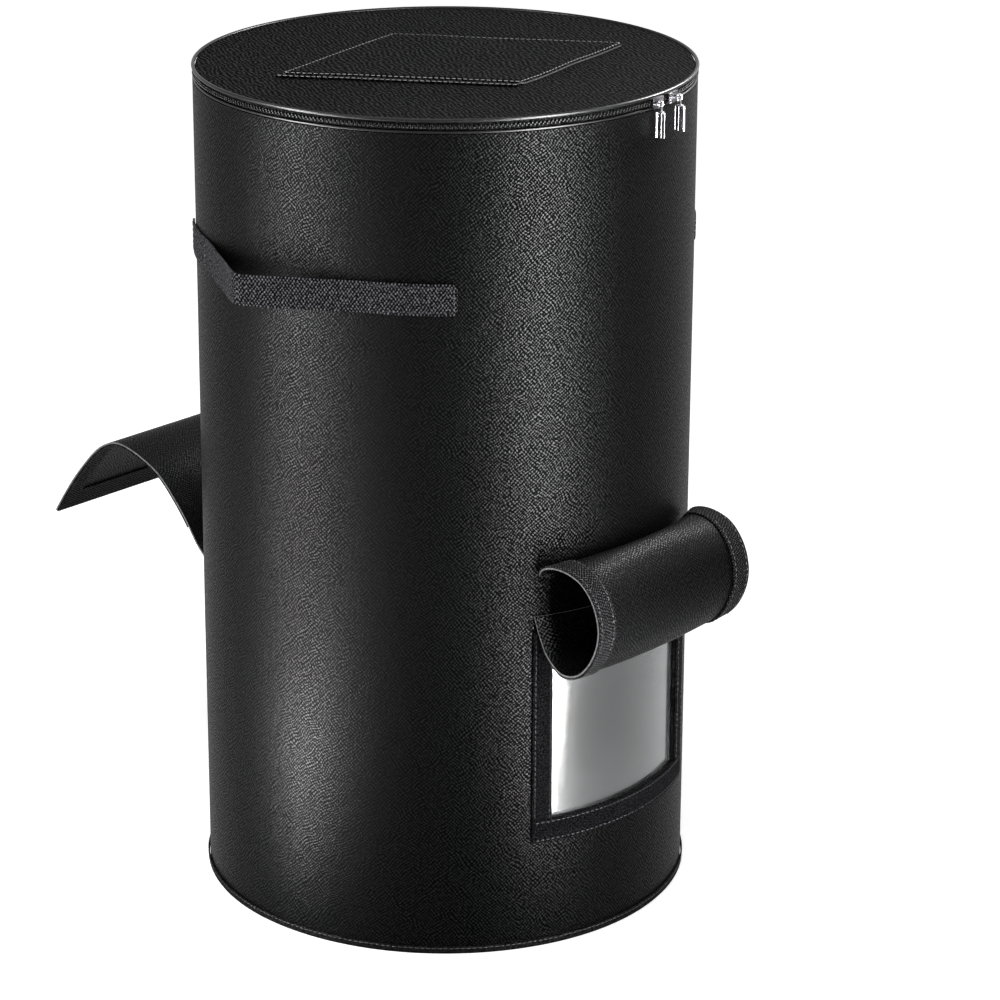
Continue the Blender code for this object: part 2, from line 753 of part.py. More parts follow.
def make_pull(side, sign):
    """The pull hangs edge-on to the rim, its collar round the slider's bail."""
    name = "zip_pull_" + side
    angle = slider_angle(sign)
    mesh = plate_mesh(name, [pull_outline()], pull_thickness)
    upright = Matrix.Rotation(pi / 2, 4, "X")
    mesh.transform(upright)
    pull = add_part(name, mesh, chrome)
    outward = Vector((cos(angle), sin(angle), 0))
    round_rim = Vector((-sin(angle), cos(angle), 0))
    pull.location = outward * bail_centre + round_rim * bail_offset(sign) + Vector((0, 0, chain_z))
    pull.rotation_euler[2] = angle
    bm = bmesh.new()
    bmesh.ops.create_cone(bm, cap_ends=True, segments=12, radius1=pull_hole_radius, radius2=pull_hole_radius,
                          depth=pull_thickness * 2)
    bm.transform(upright)
    hole = add_cutter(name + "_hole", mesh_from(bm, name + "_hole"))
    groove_length = pull_length - 2 * pull_groove_margin
    groove_z = pull_shoulder - pull_groove_margin - groove_length / 2
    tools = [hole]
    for face in (-1, 1):
        for x in (-pull_groove_offset, pull_groove_offset):
            groove = box_mesh(name + "_groove", (pull_groove_width, pull_groove_depth * 2, groove_length),
                              (x, face * pull_thickness / 2, groove_z))
            tools.append(add_cutter(name + "_groove", groove))
    for tool in tools:
        tool.location = pull.location
        tool.rotation_euler = pull.rotation_euler
        boolean(pull, tool, "DIFFERENCE")


# Handles

def handle_faces():
    """A strap's inner and outer faces in plan, as (distance from the bin's middle, distance to one side)."""
    seat = bin_radius + curve_gap
    pad = arc_points(seat, handle_free_angle + handle_pad_arc / bin_radius, handle_free_angle)
    end = pad[-1]
    bend = (bin_radius + handle_apex - handle_bend_drop, handle_bend_side)
    run = [(end[0] + (bend[0] - end[0]) * i / 3, end[1] + (bend[1] - end[1]) * i / 3) for i in range(4)]
    free = smooth_path(run + [(bin_radius + handle_apex, 0.0)] + [(n, -y) for n, y in reversed(run)], 1200)
    inner = resample(pad, 200)[:-1] + free + [(n, -y) for n, y in reversed(resample(pad, 200)[:-1])]
    outer = []
    for before, place, after in zip(inner[:1] + inner, inner, inner[1:] + inner[-1:]):
        dn, dy = after[0] - before[0], after[1] - before[1]
        step = webbing_thickness / hypot(dn, dy)
        outer.append((place[0] - dy * step, place[1] + dn * step))
    return inner, outer


def crease_place():
    """Where the strap's moving part starts: (distance from the bin's middle, distance to one side)."""
    return next((n, y) for n, y in handle_faces()[0] if atan2(y, n) < handle_crease_angle)


def strap_piece(name, middle, low, high, pivot):
    """The stretch of a strap between two upright planes across it."""
    inner, outer = [resample([p for p in face if low <= p[1] <= high], strap_steps) for face in handle_faces()]
    outline = [(cos(middle) * n - sin(middle) * y, sin(middle) * n + cos(middle) * y)
               for n, y in inner + outer[::-1]]
    mesh = plate_mesh(name, [outline], webbing_width)
    mesh.transform(Matrix.Translation(Vector((0, 0, handle_height)) - pivot))
    part = add_part(name, mesh, webbing_black)
    part.location = pivot
    return part


def make_handle(side, middle):
    crease_n, crease_y = crease_place()
    near = crease_y - handle_crease_gap / 2
    far = crease_y + handle_crease_gap / 2
    strap_piece(f"{side}_handle_end_front", middle, far, bin_radius, Vector((0, 0, 0)))
    strap_piece(f"{side}_handle_end_back", middle, -bin_radius, -far, Vector((0, 0, 0)))
    pivot = Vector((cos(middle) * crease_n, sin(middle) * crease_n, handle_height))
    strap_piece(f"{side}_handle_strap", middle, -near, near, pivot)


# The whole bin

front = {"name": "front", "angle": radians(-90), "root": front_root_height}
back = {"name": "back", "angle": radians(90), "root": back_root_height}
for window in (front, back):
    window["opening_high"] = window["root"] - opening_top_margin
    window["opening_low"] = window["root"] - window_height + bottom_tape_width
front_chord = -(bin_radius * cos(frame_half_angle))
front["pivot"] = (0.0, front_chord, front["root"])
back["pivot"] = (0.0, bin_radius + curve_gap + flap_thickness / 2, back["root"])

make_foot()
make_wall((front, back))
make_window(front)
make_window(back)
make_flap(front, front_flap_line, front_flap_rows, front_flap_length)
make_flap(back, back_flap_line, back_flap_rows, back_flap_length)
make_rim()
make_hinge_panel()
make_lid()
make_hatch()
for slider_side, slider_sign in (("left", -1), ("right", 1)):
    make_slider(slider_side, slider_sign)
    make_pull(slider_side, slider_sign)
make_handle("left", pi)
make_handle("right", 0.0)
print("hinge chord", round(hinge_chord, 5), "chain height", round(chain_z, 5), "wall top", round(wall_top, 5),
      "bail", round(bail_centre, 5), "crease", [round(value, 5) for value in crease_place()],
      "opening half angle", round(degrees(opening_half_angle), 2), "hatch top", round(hatch_top(), 5))
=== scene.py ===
# Fabric compost bin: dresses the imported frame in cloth, tapes, webbing, zip and chrome, then sets camera and light.
import bpy
from math import acos, cos, hypot, pi, radians, sin, sqrt, tan
from mathutils import Matrix, Vector, noise


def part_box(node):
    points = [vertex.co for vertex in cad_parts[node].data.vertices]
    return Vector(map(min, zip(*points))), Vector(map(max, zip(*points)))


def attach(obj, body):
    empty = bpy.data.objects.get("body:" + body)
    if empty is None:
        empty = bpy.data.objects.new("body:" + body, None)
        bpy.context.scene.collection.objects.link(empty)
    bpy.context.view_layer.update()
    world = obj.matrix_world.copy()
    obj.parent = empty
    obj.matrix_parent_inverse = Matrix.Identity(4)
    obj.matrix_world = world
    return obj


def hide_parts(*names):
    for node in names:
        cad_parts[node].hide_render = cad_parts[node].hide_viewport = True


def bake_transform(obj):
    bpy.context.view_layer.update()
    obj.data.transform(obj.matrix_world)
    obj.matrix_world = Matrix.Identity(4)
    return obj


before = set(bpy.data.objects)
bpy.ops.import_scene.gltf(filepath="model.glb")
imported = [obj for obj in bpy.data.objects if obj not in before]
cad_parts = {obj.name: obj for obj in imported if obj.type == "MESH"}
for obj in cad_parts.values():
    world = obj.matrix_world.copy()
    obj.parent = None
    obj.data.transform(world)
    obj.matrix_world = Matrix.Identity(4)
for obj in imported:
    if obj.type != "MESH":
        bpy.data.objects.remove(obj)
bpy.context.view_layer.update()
print("frame loaded:", len(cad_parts), "nodes")


# Helpers for modelling by hand

def deselectAll():
    if bpy.context.object and bpy.context.object.mode != "OBJECT":
        bpy.ops.object.mode_set(mode="OBJECT")
    bpy.ops.object.select_all(action="DESELECT")


def newShape(primitive, **settings):
    deselectAll()
    primitive(**settings)
    return bpy.context.object


def pick(piece):
    deselectAll()
    piece.select_set(True)
    bpy.context.view_layer.objects.active = piece


def applyAll(piece):
    pick(piece)
    for modifier in list(piece.modifiers):
        bpy.ops.object.modifier_apply(modifier=modifier.name)
    return piece


def editAll(piece):
    pick(piece)
    bpy.ops.object.mode_set(mode="EDIT")
    bpy.ops.mesh.select_all(action="SELECT")


def leaveEdit():
    bpy.ops.object.mode_set(mode="OBJECT")


def realSizeUv(piece):
    # the flat piece's x and y in metres become its UV, so a weave keeps its real size once the cloth is bent
    layer = piece.data.uv_layers.active or piece.data.uv_layers.new(name="UVMap")
    for loop in piece.data.loops:
        layer.data[loop.index].uv = piece.data.vertices[loop.vertex_index].co.xy


def flatCloth(name, x0, x1, y0, y1, stepsX, stepsY):
    piece = newShape(bpy.ops.mesh.primitive_grid_add, x_subdivisions=stepsX, y_subdivisions=stepsY, size=1.0)
    piece.name = name
    editAll(piece)
    bpy.ops.transform.resize(value=(x1 - x0, y1 - y0, 1.0))
    bpy.ops.transform.translate(value=((x0 + x1) / 2, (y0 + y1) / 2, 0.0))
    leaveEdit()
    realSizeUv(piece)
    return piece


def cutWindow(piece, x0, x1, y0, y1):
    # four bisects lay edges along the opening's sides, then the faces inside go
    for place, direction in (((x0, 0, 0), (1, 0, 0)), ((x1, 0, 0), (1, 0, 0)), ((0, y0, 0), (0, 1, 0)),
                             ((0, y1, 0), (0, 1, 0))):
        editAll(piece)
        bpy.ops.mesh.bisect(plane_co=place, plane_no=direction, use_fill=False)
    bpy.ops.mesh.select_mode(type="FACE")
    bpy.ops.mesh.select_all(action="DESELECT")
    leaveEdit()
    for face in piece.data.polygons:
        middle = face.center
        face.select = x0 < middle.x < x1 and y0 < middle.y < y1
    bpy.ops.object.mode_set(mode="EDIT")
    bpy.ops.mesh.delete(type="FACE")
    leaveEdit()


def joinEnds(piece):
    # merges the two ends of a strip that goes all the way round
    editAll(piece)
    bpy.ops.mesh.remove_doubles(threshold=0.00001)
    leaveEdit()


def thicken(piece, thickness, offset=1.0, rim=0):
    shell = piece.modifiers.new("thickness", "SOLIDIFY")
    shell.thickness = thickness
    shell.offset = offset
    shell.use_even_offset = True
    shell.material_offset_rim = rim
    return applyAll(piece)


def soften(piece, width, segments=2):
    edge = piece.modifiers.new("edge", "BEVEL")
    edge.width = width
    edge.segments = segments
    edge.limit_method = "ANGLE"
    edge.angle_limit = radians(50)
    return applyAll(piece)


def smooth(piece, angle=35):
    pick(piece)
    bpy.ops.object.shade_smooth_by_angle(angle=radians(angle))
    return piece


def roundedBar(size, bevel, segments):
    # a small bar with all its edges beveled, such as a stitch or a zip tooth
    bar = newShape(bpy.ops.mesh.primitive_cube_add, size=1.0)
    editAll(bar)
    bpy.ops.transform.resize(value=size)
    bpy.ops.mesh.bevel(offset=bevel, segments=segments, affect="EDGES")
    leaveEdit()
    for face in bar.data.polygons:
        face.use_smooth = True
    return bar


def repeat(source, places, name):
    # one modelled piece copied to each place, each copy with its own mesh, then joined
    copies = []
    for place in places:
        copy = bpy.data.objects.new(name, source.data.copy())
        bpy.context.scene.collection.objects.link(copy)
        copy.data.transform(place)
        copies.append(copy)
    bpy.data.objects.remove(source, do_unlink=True)
    return joined(copies, name)


def joined(parts, name):
    deselectAll()
    for part in parts:
        part.select_set(True)
    bpy.context.view_layer.objects.active = parts[0]
    bpy.ops.object.join()
    piece = bpy.context.object
    piece.name = name
    return piece


# Helpers for materials

def linear(hexColour):
    shares = [int(hexColour[i:i + 2], 16) / 255 for i in (1, 3, 5)]
    return (*[s / 12.92 if s <= 0.04045 else ((s + 0.055) / 1.055) ** 2.4 for s in shares], 1.0)


def setInputs(tree, node, values):
    # a value is a number, a colour or a socket, or a node, which stands for its first output
    for key, value in values.items():
        if isinstance(value, bpy.types.Node):
            value = value.outputs[0]
        if isinstance(value, bpy.types.NodeSocket):
            tree.links.new(value, node.inputs[key])
        else:
            node.inputs[key].default_value = value


def addNode(tree, kind, settings, values):
    node = tree.nodes.new("ShaderNode" + kind)
    for key, value in settings.items():
        setattr(node, key, value)
    setInputs(tree, node, values)
    return node


def newMaterial(name, roughness, metallic=0.0, specular=0.5, ior=1.5):
    material = bpy.data.materials.new(name)
    material.use_nodes = True
    tree = material.node_tree
    shader = tree.nodes["Principled BSDF"]
    setInputs(tree, shader, {"Roughness": roughness, "Metallic": metallic, "Specular IOR Level": specular,
                             "IOR": ior})
    return material, tree, shader


def wovenCloth(name, look):
    # threads cross as two sine rows; a slow noise wanders them as hand-pulled cloth does, a fine one flecks them
    material, tree, shader = newMaterial(name, look["roughness"], specular=look["specular"])
    place = addNode(tree, "TexCoord", {}, {})
    turned = addNode(tree, "Mapping", {},
                     {"Vector": place.outputs["UV"], "Rotation": (0, 0, radians(look["turn"]))})
    wander = addNode(tree, "TexNoise", {"noise_dimensions": "2D"},
                     {"Vector": turned, "Scale": look["wanderScale"], "Detail": 1.0})
    shift = addNode(tree, "VectorMath", {"operation": "SCALE"},
                    {0: wander.outputs["Color"], "Scale": look["wander"]})
    moved = addNode(tree, "VectorMath", {"operation": "ADD"}, {0: turned, 1: shift})
    parts = addNode(tree, "SeparateXYZ", {}, {0: moved})
    rows = []
    for axis, spacing in ((0, look["spacingX"]), (1, look["spacingY"])):
        phase = addNode(tree, "Math", {"operation": "MULTIPLY"}, {0: parts.outputs[axis], 1: 2 * pi / spacing})
        rows.append(addNode(tree, "Math", {"operation": "SINE"}, {0: phase}))
    cross = addNode(tree, "Math", {"operation": "MULTIPLY"}, {0: rows[0], 1: rows[1]})
    fleck = addNode(tree, "TexNoise", {"noise_dimensions": "2D"},
                    {"Vector": turned, "Scale": look["fleckScale"], "Detail": 2.0, "Roughness": 0.7})
    height = addNode(tree, "Math", {"operation": "MULTIPLY_ADD"}, {0: cross, 1: look["weave"], 2: fleck})
    tone = addNode(tree, "MapRange", {"interpolation_type": "SMOOTHSTEP"},
                   {"Value": height, "From Min": look["toneLow"], "From Max": look["toneHigh"]})
    # the tone follows the threads' height: partly the yarn's own flecks, partly painted shade darkening the valleys
    # between the threads
    colour = addNode(tree, "Mix", {"data_type": "RGBA"},
                     {"Factor": tone, 6: linear(look["dark"]), 7: linear(look["light"])})
    bump = addNode(tree, "Bump", {}, {"Height": height, "Strength": look["bump"], "Distance": look["relief"]})
    rough = addNode(tree, "MapRange", {}, {"Value": tone, "To Min": look["valley"], "To Max": look["roughness"]})
    # painted shade: the gloss is tinted dark in the valleys between the threads, where the threads shade each other
    gloss = addNode(tree, "Mix", {"data_type": "RGBA"},
                    {"Factor": tone, 6: linear(look["valleyShadeGloss"]), 7: (1, 1, 1, 1)})
    setInputs(tree, shader, {"Specular Tint": gloss.outputs[2], "Base Color": colour.outputs[2],
                             "Roughness": rough, "Normal": bump})
    return material


# Oxford polyester with a coated back: 0.6 mm threads, drawn 2 mm apart so that they show; a soft, wide gloss. Its
# dark valleys and their dark gloss tint are painted shade
oxfordLook = {"dark": "#000000", "light": "#141415", "roughness": 0.32, "valley": 0.60, "valleyShadeGloss": "#0c0c0c",
              "specular": 0.042, "turn": 4.0, "spacingX": 0.0028, "spacingY": 0.0028, "wander": 0.0060,
              "wanderScale": 60.0, "fleckScale": 480.0, "weave": 0.32, "toneLow": 0.48, "toneHigh": 0.76,
              "bump": 0.5, "relief": 0.0005}
# The lid's cloth is the same; its threads are drawn 3 mm apart, because the photo looks along the lid. Its paler
# colour is painted light: a lit copy of the wall's cloth for the top of the lid, the hinge strip and the hatch
paintedLitLidLook = dict(oxfordLook, light="#232324", spacingX=0.0044, spacingY=0.0044, fleckScale=360.0, specular=0.014,
               roughness=0.50, valley=0.85, relief=0.0010)
# The same cloth seen from its coated side: flatter weave, a little darker
liningLook = dict(oxfordLook, dark="#030304", light="#101011", roughness=0.62, bump=0.35)
# Twill zip tape: narrow ribs about 1 mm apart, matt
zipTapeLook = dict(oxfordLook, dark="#020202", light="#0f0f10", spacingX=0.0016, spacingY=0.0016, turn=0.0,
                   roughness=0.6, valley=0.85)
# Cotton webbing: loops in rows along it, black and grey yarn, drawn 2 mm apart so that they show. Its valleys' gloss
# tint is painted shade, and the hook and loop tapes share it
webbingLook = {"dark": "#030303", "light": "#7d7b82", "roughness": 0.70, "valley": 0.95, "valleyShadeGloss": "#404040",
               "specular": 0.04, "turn": 0.0, "spacingX": 0.0024, "spacingY": 0.0034, "wander": 0.0012,
               "wanderScale": 260.0, "fleckScale": 560.0, "weave": 0.32, "toneLow": 0.46, "toneHigh": 0.90,
               "bump": 0.9, "relief": 0.0007}
# Nylon hook tape sewn on the flaps: rows of stiff hooks, drawn 1.9 mm apart so that they show
hookLook = dict(webbingLook, dark="#030304", light="#414042", roughness=0.50, valley=0.9, specular=0.05,
                spacingX=0.0030, spacingY=0.0022, wanderScale=200.0, fleckScale=900.0, weave=0.26, toneLow=0.45,
                bump=0.8, relief=0.0005)
# Nylon loop tape: brushed pile with lilac flecks
loopLook = dict(webbingLook, dark="#040405", light="#201f23", roughness=0.85, valley=0.98, specular=0.02,
                spacingX=0.0041, spacingY=0.0037, wander=0.006, wanderScale=330.0, fleckScale=900.0, weave=0.12,
                toneLow=0.36, toneHigh=0.72, bump=0.7, relief=0.0004)

oxford = wovenCloth("oxfordPolyesterCoated", oxfordLook)
paintedLitLidOxford = wovenCloth("oxfordPolyesterPaintedLitLid", paintedLitLidLook)
lining = wovenCloth("oxfordCoatedBack", liningLook)
webbing = wovenCloth("cottonWebbing", webbingLook)
zipTwill = wovenCloth("zipTapeTwill", zipTapeLook)
hookPile = wovenCloth("nylonHookTape", hookLook)
loopPile = wovenCloth("nylonLoopTape", loopLook)

# What a plain finish has where its own line doesn't say otherwise
plainLook = {"metallic": 0.0, "uneven": 0.05, "specular": 0.5, "scale": 160.0, "bump": 0.05, "relief": 0.0001}


def plainFinish(name, **changes):
    # one colour broken by a fine noise in tone, gloss and height
    look = dict(plainLook, **changes)
    material, tree, shader = newMaterial(name, look["roughness"], look["metallic"], look["specular"])
    place = addNode(tree, "TexCoord", {}, {})
    grain = addNode(tree, "TexNoise", {}, {"Vector": place.outputs["Object"], "Scale": look["scale"],
                                           "Detail": 3.0, "Roughness": 0.6})
    tone = addNode(tree, "MapRange", {}, {"Value": grain, "From Min": 0.35, "From Max": 0.65})
    colour = addNode(tree, "Mix", {"data_type": "RGBA"},
                     {"Factor": tone, 6: linear(look["dark"]), 7: linear(look["light"])})
    rough = addNode(tree, "MapRange", {}, {"Value": grain, "From Min": 0.3, "From Max": 0.7,
                                           "To Min": look["roughness"] - look["uneven"],
                                           "To Max": look["roughness"] + look["uneven"]})
    bump = addNode(tree, "Bump", {}, {"Height": grain, "Strength": look["bump"], "Distance": look["relief"]})
    setInputs(tree, shader, {"Base Color": colour.outputs[2], "Roughness": rough, "Normal": bump})
    return material


# Cut edge of the cloth, between two black faces: its pale grey is painted highlight, the light that the free edges
# catch
paintedEdgeHighlight = plainFinish("paintedEdgeHighlightCloth", dark="#5a5a5b", light="#a3a3a2", roughness=0.9, specular=0.1, scale=900.0,
                      bump=0.5, relief=0.0002)
# Corded piping in coated cloth: smoother and glossier than the wall, as the cloth is pulled tight over the cord
pipingCloth = plainFinish("coatedClothPiping", dark="#060606", light="#161617", roughness=0.34, uneven=0.06,
                          specular=0.11, scale=700.0, bump=0.3, relief=0.0002)
# Moulded acetal zip teeth: hard and glossy, with rounded tips that catch the light
toothAcetal = plainFinish("mouldedAcetalTeeth", dark="#040404", light="#0c0c0d", roughness=0.30, uneven=0.04,
                          specular=0.07, scale=400.0, bump=0.1)
# Zinc casting with bright chrome plate: mirror with faint polishing unevenness
chromePlate = plainFinish("chromePlatedZinc", dark="#9d9c9e", light="#bcbbbd", roughness=0.14, uneven=0.04,
                          metallic=1.0)
# The sliders' bodies: the same casting under a darker nickel. The pulls' plates and thin ribs take this darker metal
# as painted shade on the one chrome casting
nickelAndPaintedShade = plainFinish("shadedPullAndDarkNickelZinc", dark="#4c4b4e", light="#6b696c", roughness=0.24, metallic=1.0)
# Bonded polyester thread: tight, slightly glossy and black; its pale grey copy on the lid is painted light, the
# stitches on the lid's top lit from above
blackThread = plainFinish("blackBondedThread", dark="#0c0c0d", light="#242426", roughness=0.45, specular=0.12,
                          scale=2200.0, bump=0.4)
paintedLitThread = plainFinish("bondedThreadPaintedLit", dark="#6e6e70", light="#bdbdbf", roughness=0.45, specular=0.15,
                         scale=2200.0, bump=0.4)

filmLook = {"colour": "#d5dadb", "ior": 1.53, "new": 0.08, "clear": 0.14, "hazy": 0.24, "waves": 9.0,
            "bump": 0.05, "relief": 0.0010}


def filmFinish():
    # Clear PVC film: bends light little, with soft waves from rolling and a milky haze where it has been rubbed
    material, tree, shader = newMaterial("clearPvcFilm", filmLook["new"], ior=filmLook["ior"])
    place = addNode(tree, "TexCoord", {}, {})
    waves = addNode(tree, "TexNoise", {"noise_dimensions": "2D"},
                    {"Vector": place.outputs["UV"], "Scale": filmLook["waves"], "Detail": 0.0})
    bump = addNode(tree, "Bump", {},
                   {"Height": waves, "Strength": filmLook["bump"], "Distance": filmLook["relief"]})
    haze = addNode(tree, "MapRange", {}, {"Value": waves, "From Min": 0.3, "From Max": 0.7,
                                          "To Min": filmLook["clear"], "To Max": filmLook["hazy"]})
    setInputs(tree, shader, {"Base Color": linear(filmLook["colour"]), "Transmission Weight": 1.0,
                             "Roughness": haze, "Normal": bump})
    return material


film = filmFinish()
print("materials made:", len(bpy.data.materials))


def dress(piece, body, slot, nodes, *materials):
    for material in materials:
        piece.data.materials.append(material)
    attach(piece, body)
    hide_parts(*nodes)
    return piece


# Stitches: one is modelled, and each seam is a row of copies

stitch = {"size": (0.0026, 0.00055, 0.00045), "bevel": 0.00017, "pitch": 0.0040, "rise": 0.00008, "probe": 0.0005}


def sew(name, body, ends, placeOf, thread):
    # a straight seam on the flat cloth; placeOf gives where a flat place lies on the bin, and its outward direction
    x0, y0, x1, y1 = ends
    length = hypot(x1 - x0, y1 - y0)

    def placeAt(distance):
        t = distance / length
        return placeOf(x0 + (x1 - x0) * t, y0 + (y1 - y0) * t)

    count = max(2, round(length / stitch["pitch"]))
    places = []
    for i in range(count):
        distance = length * (i + 0.5) / count
        here, out = placeAt(distance)
        ahead = placeAt(min(length, distance + stitch["probe"]))[0]
        behind = placeAt(max(0.0, distance - stitch["probe"]))[0]
        along = (ahead - behind).normalized()
        side = out.cross(along).normalized()
        up = along.cross(side).normalized()
        turn = Matrix((along, side, up)).transposed().to_4x4()
        places.append(Matrix.Translation(here + up * stitch["rise"]) @ turn)
    row = repeat(roundedBar(stitch["size"], stitch["bevel"], 1), places, name)
    return dress(row, body, "shell_fabric", [], thread)


def onWall(radius, turn):
    def placeOf(x, y):
        angle = x / wall["radius"] + turn
        out = Vector((cos(angle), sin(angle), 0))
        return out * radius + Vector((0, 0, y)), out

    return placeOf


# Round wall, with an opening for each window

wall = {"radius": 0.175, "cloth": 0.0020, "top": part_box("body_wall")[1].z, "stepsRound": 240, "stepsUp": 64,
        "wave": 0.00025, "openingHalf": radians(27.5) - 0.0147 / 0.175}
windows = {"front": {"angle": -pi / 2, "low": 0.097, "high": 0.238, "root": 0.250},
           "back": {"angle": pi / 2, "low": 0.050, "high": 0.191, "root": 0.203}}


def clothWave(angle, up):
    # the slack of sewn cloth: long soft swells, a quarter of a millimetre deep
    return wall["wave"] * noise.noise(Vector((cos(angle) * 2.1, sin(angle) * 2.1, up * 8.0)))


def wrapRound(piece, radius, turn=0.0):
    # a flat piece's x runs round the wall, its y up the wall and its z outward
    for vert in piece.data.vertices:
        along, up, out = vert.co
        angle = along / wall["radius"] + turn
        reach = radius + out + clothWave(angle, up)
        vert.co = (reach * cos(angle), reach * sin(angle), up)


def makeWall():
    half = pi * wall["radius"]
    piece = flatCloth("wallCloth", -half, half, 0.0, wall["top"], wall["stepsRound"], wall["stepsUp"])
    reach = wall["openingHalf"] * wall["radius"]
    for window in windows.values():
        middle = window["angle"] * wall["radius"]
        cutWindow(piece, middle - reach, middle + reach, window["low"], window["high"])
    wrapRound(piece, wall["radius"])
    joinEnds(piece)
    thicken(piece, wall["cloth"], -1.0)
    smooth(piece)
    dress(piece, "bin", "shell_fabric", ["body_wall"], oxford)


makeWall()
print("wall made")


# Foot: round base panel, binding tape and the tape over the wall's seam

foot = {"panelRadius": 0.1725, "panelThickness": 0.0025, "panelInset": 0.006, "bindingLow": 0.0003,
        "bindingHeight": 0.0055, "bindingThickness": 0.0010, "gap": 0.0005, "stitchIn": 0.0012, "edge": 0.0003,
        "seamHalfWidth": 0.007, "seamThickness": 0.0010, "seamEnd": 0.010}


def makeFoot():
    panel = newShape(bpy.ops.mesh.primitive_circle_add, vertices=144, radius=foot["panelRadius"],
                     fill_type="NGON")
    panel.name = "basePanel"
    editAll(panel)
    bpy.ops.mesh.inset(thickness=foot["panelInset"], depth=0.0)
    leaveEdit()
    realSizeUv(panel)
    thicken(panel, foot["panelThickness"], 1.0)
    smooth(panel)
    dress(panel, "bin", "shell_fabric", ["base_panel"], lining)

    half = pi * wall["radius"]
    binding = flatCloth("baseBinding", -half, half, foot["bindingLow"], foot["bindingHeight"],
                        wall["stepsRound"], 3)
    wrapRound(binding, wall["radius"] + foot["gap"])
    joinEnds(binding)
    thicken(binding, foot["bindingThickness"])
    smooth(soften(binding, foot["edge"]))
    dress(binding, "bin", "piping", ["base_binding"], zipTwill)
    up = foot["bindingHeight"] - foot["stitchIn"]
    sew("bindingStitches", "bin", (-half, up, half, up),
        onWall(wall["radius"] + foot["gap"] + foot["bindingThickness"], 0.0), blackThread)

    inner = wall["radius"] - wall["cloth"] - foot["gap"] - foot["seamThickness"]
    seam = flatCloth("sideSeamTape", -foot["seamHalfWidth"], foot["seamHalfWidth"], foot["seamEnd"],
                     wall["top"] - foot["seamEnd"], 6, 60)
    wrapRound(seam, inner)
    thicken(seam, foot["seamThickness"])
    smooth(soften(seam, foot["edge"]))
    dress(seam, "bin", "shell_fabric", ["side_seam_tape"], zipTwill)


makeFoot()
print("foot made")


# Windows: clear film behind each opening and loop tape round it

windowFrame = {"half": radians(27.5), "sideWidth": 0.0147, "bottomWidth": 0.0170, "tape": 0.0014, "gap": 0.0005,
               "seam": 0.0003, "film": 0.0006, "filmOverlap": 0.010, "stitchIn": 0.0018, "edge": 0.0004,
               "stepsAlong": 60, "stepsUp": 48, "stepsWide": 6}


def makeWindow(side):
    window = windows[side]
    turn, low, high = window["angle"], window["low"], window["high"]
    reach = windowFrame["half"] * wall["radius"]
    wide, edge = windowFrame["sideWidth"], windowFrame["stitchIn"]
    along, up, across = windowFrame["stepsAlong"], windowFrame["stepsUp"], windowFrame["stepsWide"]
    start = low + windowFrame["seam"]
    strips = {"Bottom": (-reach, reach, low - windowFrame["bottomWidth"], low, along, across),
              "Left": (-reach, wide - reach, start, high, across, up),
              "Right": (reach - wide, reach, start, high, across, up)}
    for place, (x0, x1, y0, y1, stepsX, stepsY) in strips.items():
        tape = flatCloth(f"{side}LoopTape{place}", x0, x1, y0, y1, stepsX, stepsY)
        wrapRound(tape, wall["radius"] + windowFrame["gap"], turn)
        thicken(tape, windowFrame["tape"])
        smooth(soften(tape, windowFrame["edge"], 3))
        dress(tape, "bin", "loop_tape", [f"{side}_loop_tape_{place.lower()}"], loopPile)
        seams = {"Bottom": ((x0 + edge, y0 + edge, x1 - edge, y0 + edge),
                            (x0 + edge, y1 - edge, x1 - edge, y1 - edge)),
                 "Left": ((x0 + edge, y0 + edge, x0 + edge, y1), (x1 - edge, y0, x1 - edge, y1)),
                 "Right": ((x1 - edge, y0 + edge, x1 - edge, y1), (x0 + edge, y0, x0 + edge, y1))}
        placeOf = onWall(wall["radius"] + windowFrame["gap"] + windowFrame["tape"], turn)
        for number, ends in enumerate(seams[place]):
            sew(f"{side}LoopStitches{place}{number}", "bin", ends, placeOf, blackThread)
    overlap = windowFrame["filmOverlap"]
    half = wall["openingHalf"] * wall["radius"] + overlap
    sheet = flatCloth(f"{side}WindowFilm", -half, half, low - overlap, high + overlap, along, up)
    wrapRound(sheet, wall["radius"] - wall["cloth"] - windowFrame["gap"] - windowFrame["film"], turn)
    thicken(sheet, windowFrame["film"])
    smooth(sheet)
    dress(sheet, "bin", "window_film", [f"{side}_window_film"], film)


makeWindow("front")
makeWindow("back")
print("windows made")


# Window flaps: one is rolled up over its window, the other is lifted in an arch

flapCloth = {"half": 0.175 * sin(radians(27.5)), "thickness": 0.0012, "hook": 0.0008, "hookWidth": 0.0165,
             "gap": 0.0005, "seam": 0.0003, "stitchIn": 0.0022, "step": 0.001, "probe": 0.0015, "columns": 44,
             "rows": 120, "hookRows": 110, "flatten": 0.060, "pressFrom": 0.005, "pressTo": 0.047,
             "pressPower": 1.5, "swell": 0.08}
# each section is how far the cloth stands out, and how high it is over its root, from its root to its free end
flaps = {"front": {"length": 0.178, "hookFrom": 3 / 26, "hookTo": 24 / 26,
                   "section": [(0.0000, 0.000), (0.0045, -0.012), (0.0120, -0.026), (0.0250, -0.0355),
                               (0.0400, -0.032), (0.0520, -0.017), (0.0570, 0.002), (0.0525, 0.021),
                               (0.0400, 0.035), (0.0210, 0.0395), (0.0060, 0.035), (0.0036, 0.022),
                               (0.0040, 0.008)]},
         "back": {"length": 0.226, "hookFrom": 3 / 22, "hookTo": 20 / 22,
                  "section": [(0.0000, 0.000), (0.0080, 0.012), (0.0150, 0.032), (0.0260, 0.048),
                              (0.0417, 0.062), (0.0600, 0.0705), (0.0775, 0.075), (0.0915, 0.074),
                              (0.1080, 0.0647), (0.1280, 0.044), (0.1440, 0.0238), (0.1610, -0.001)]}}


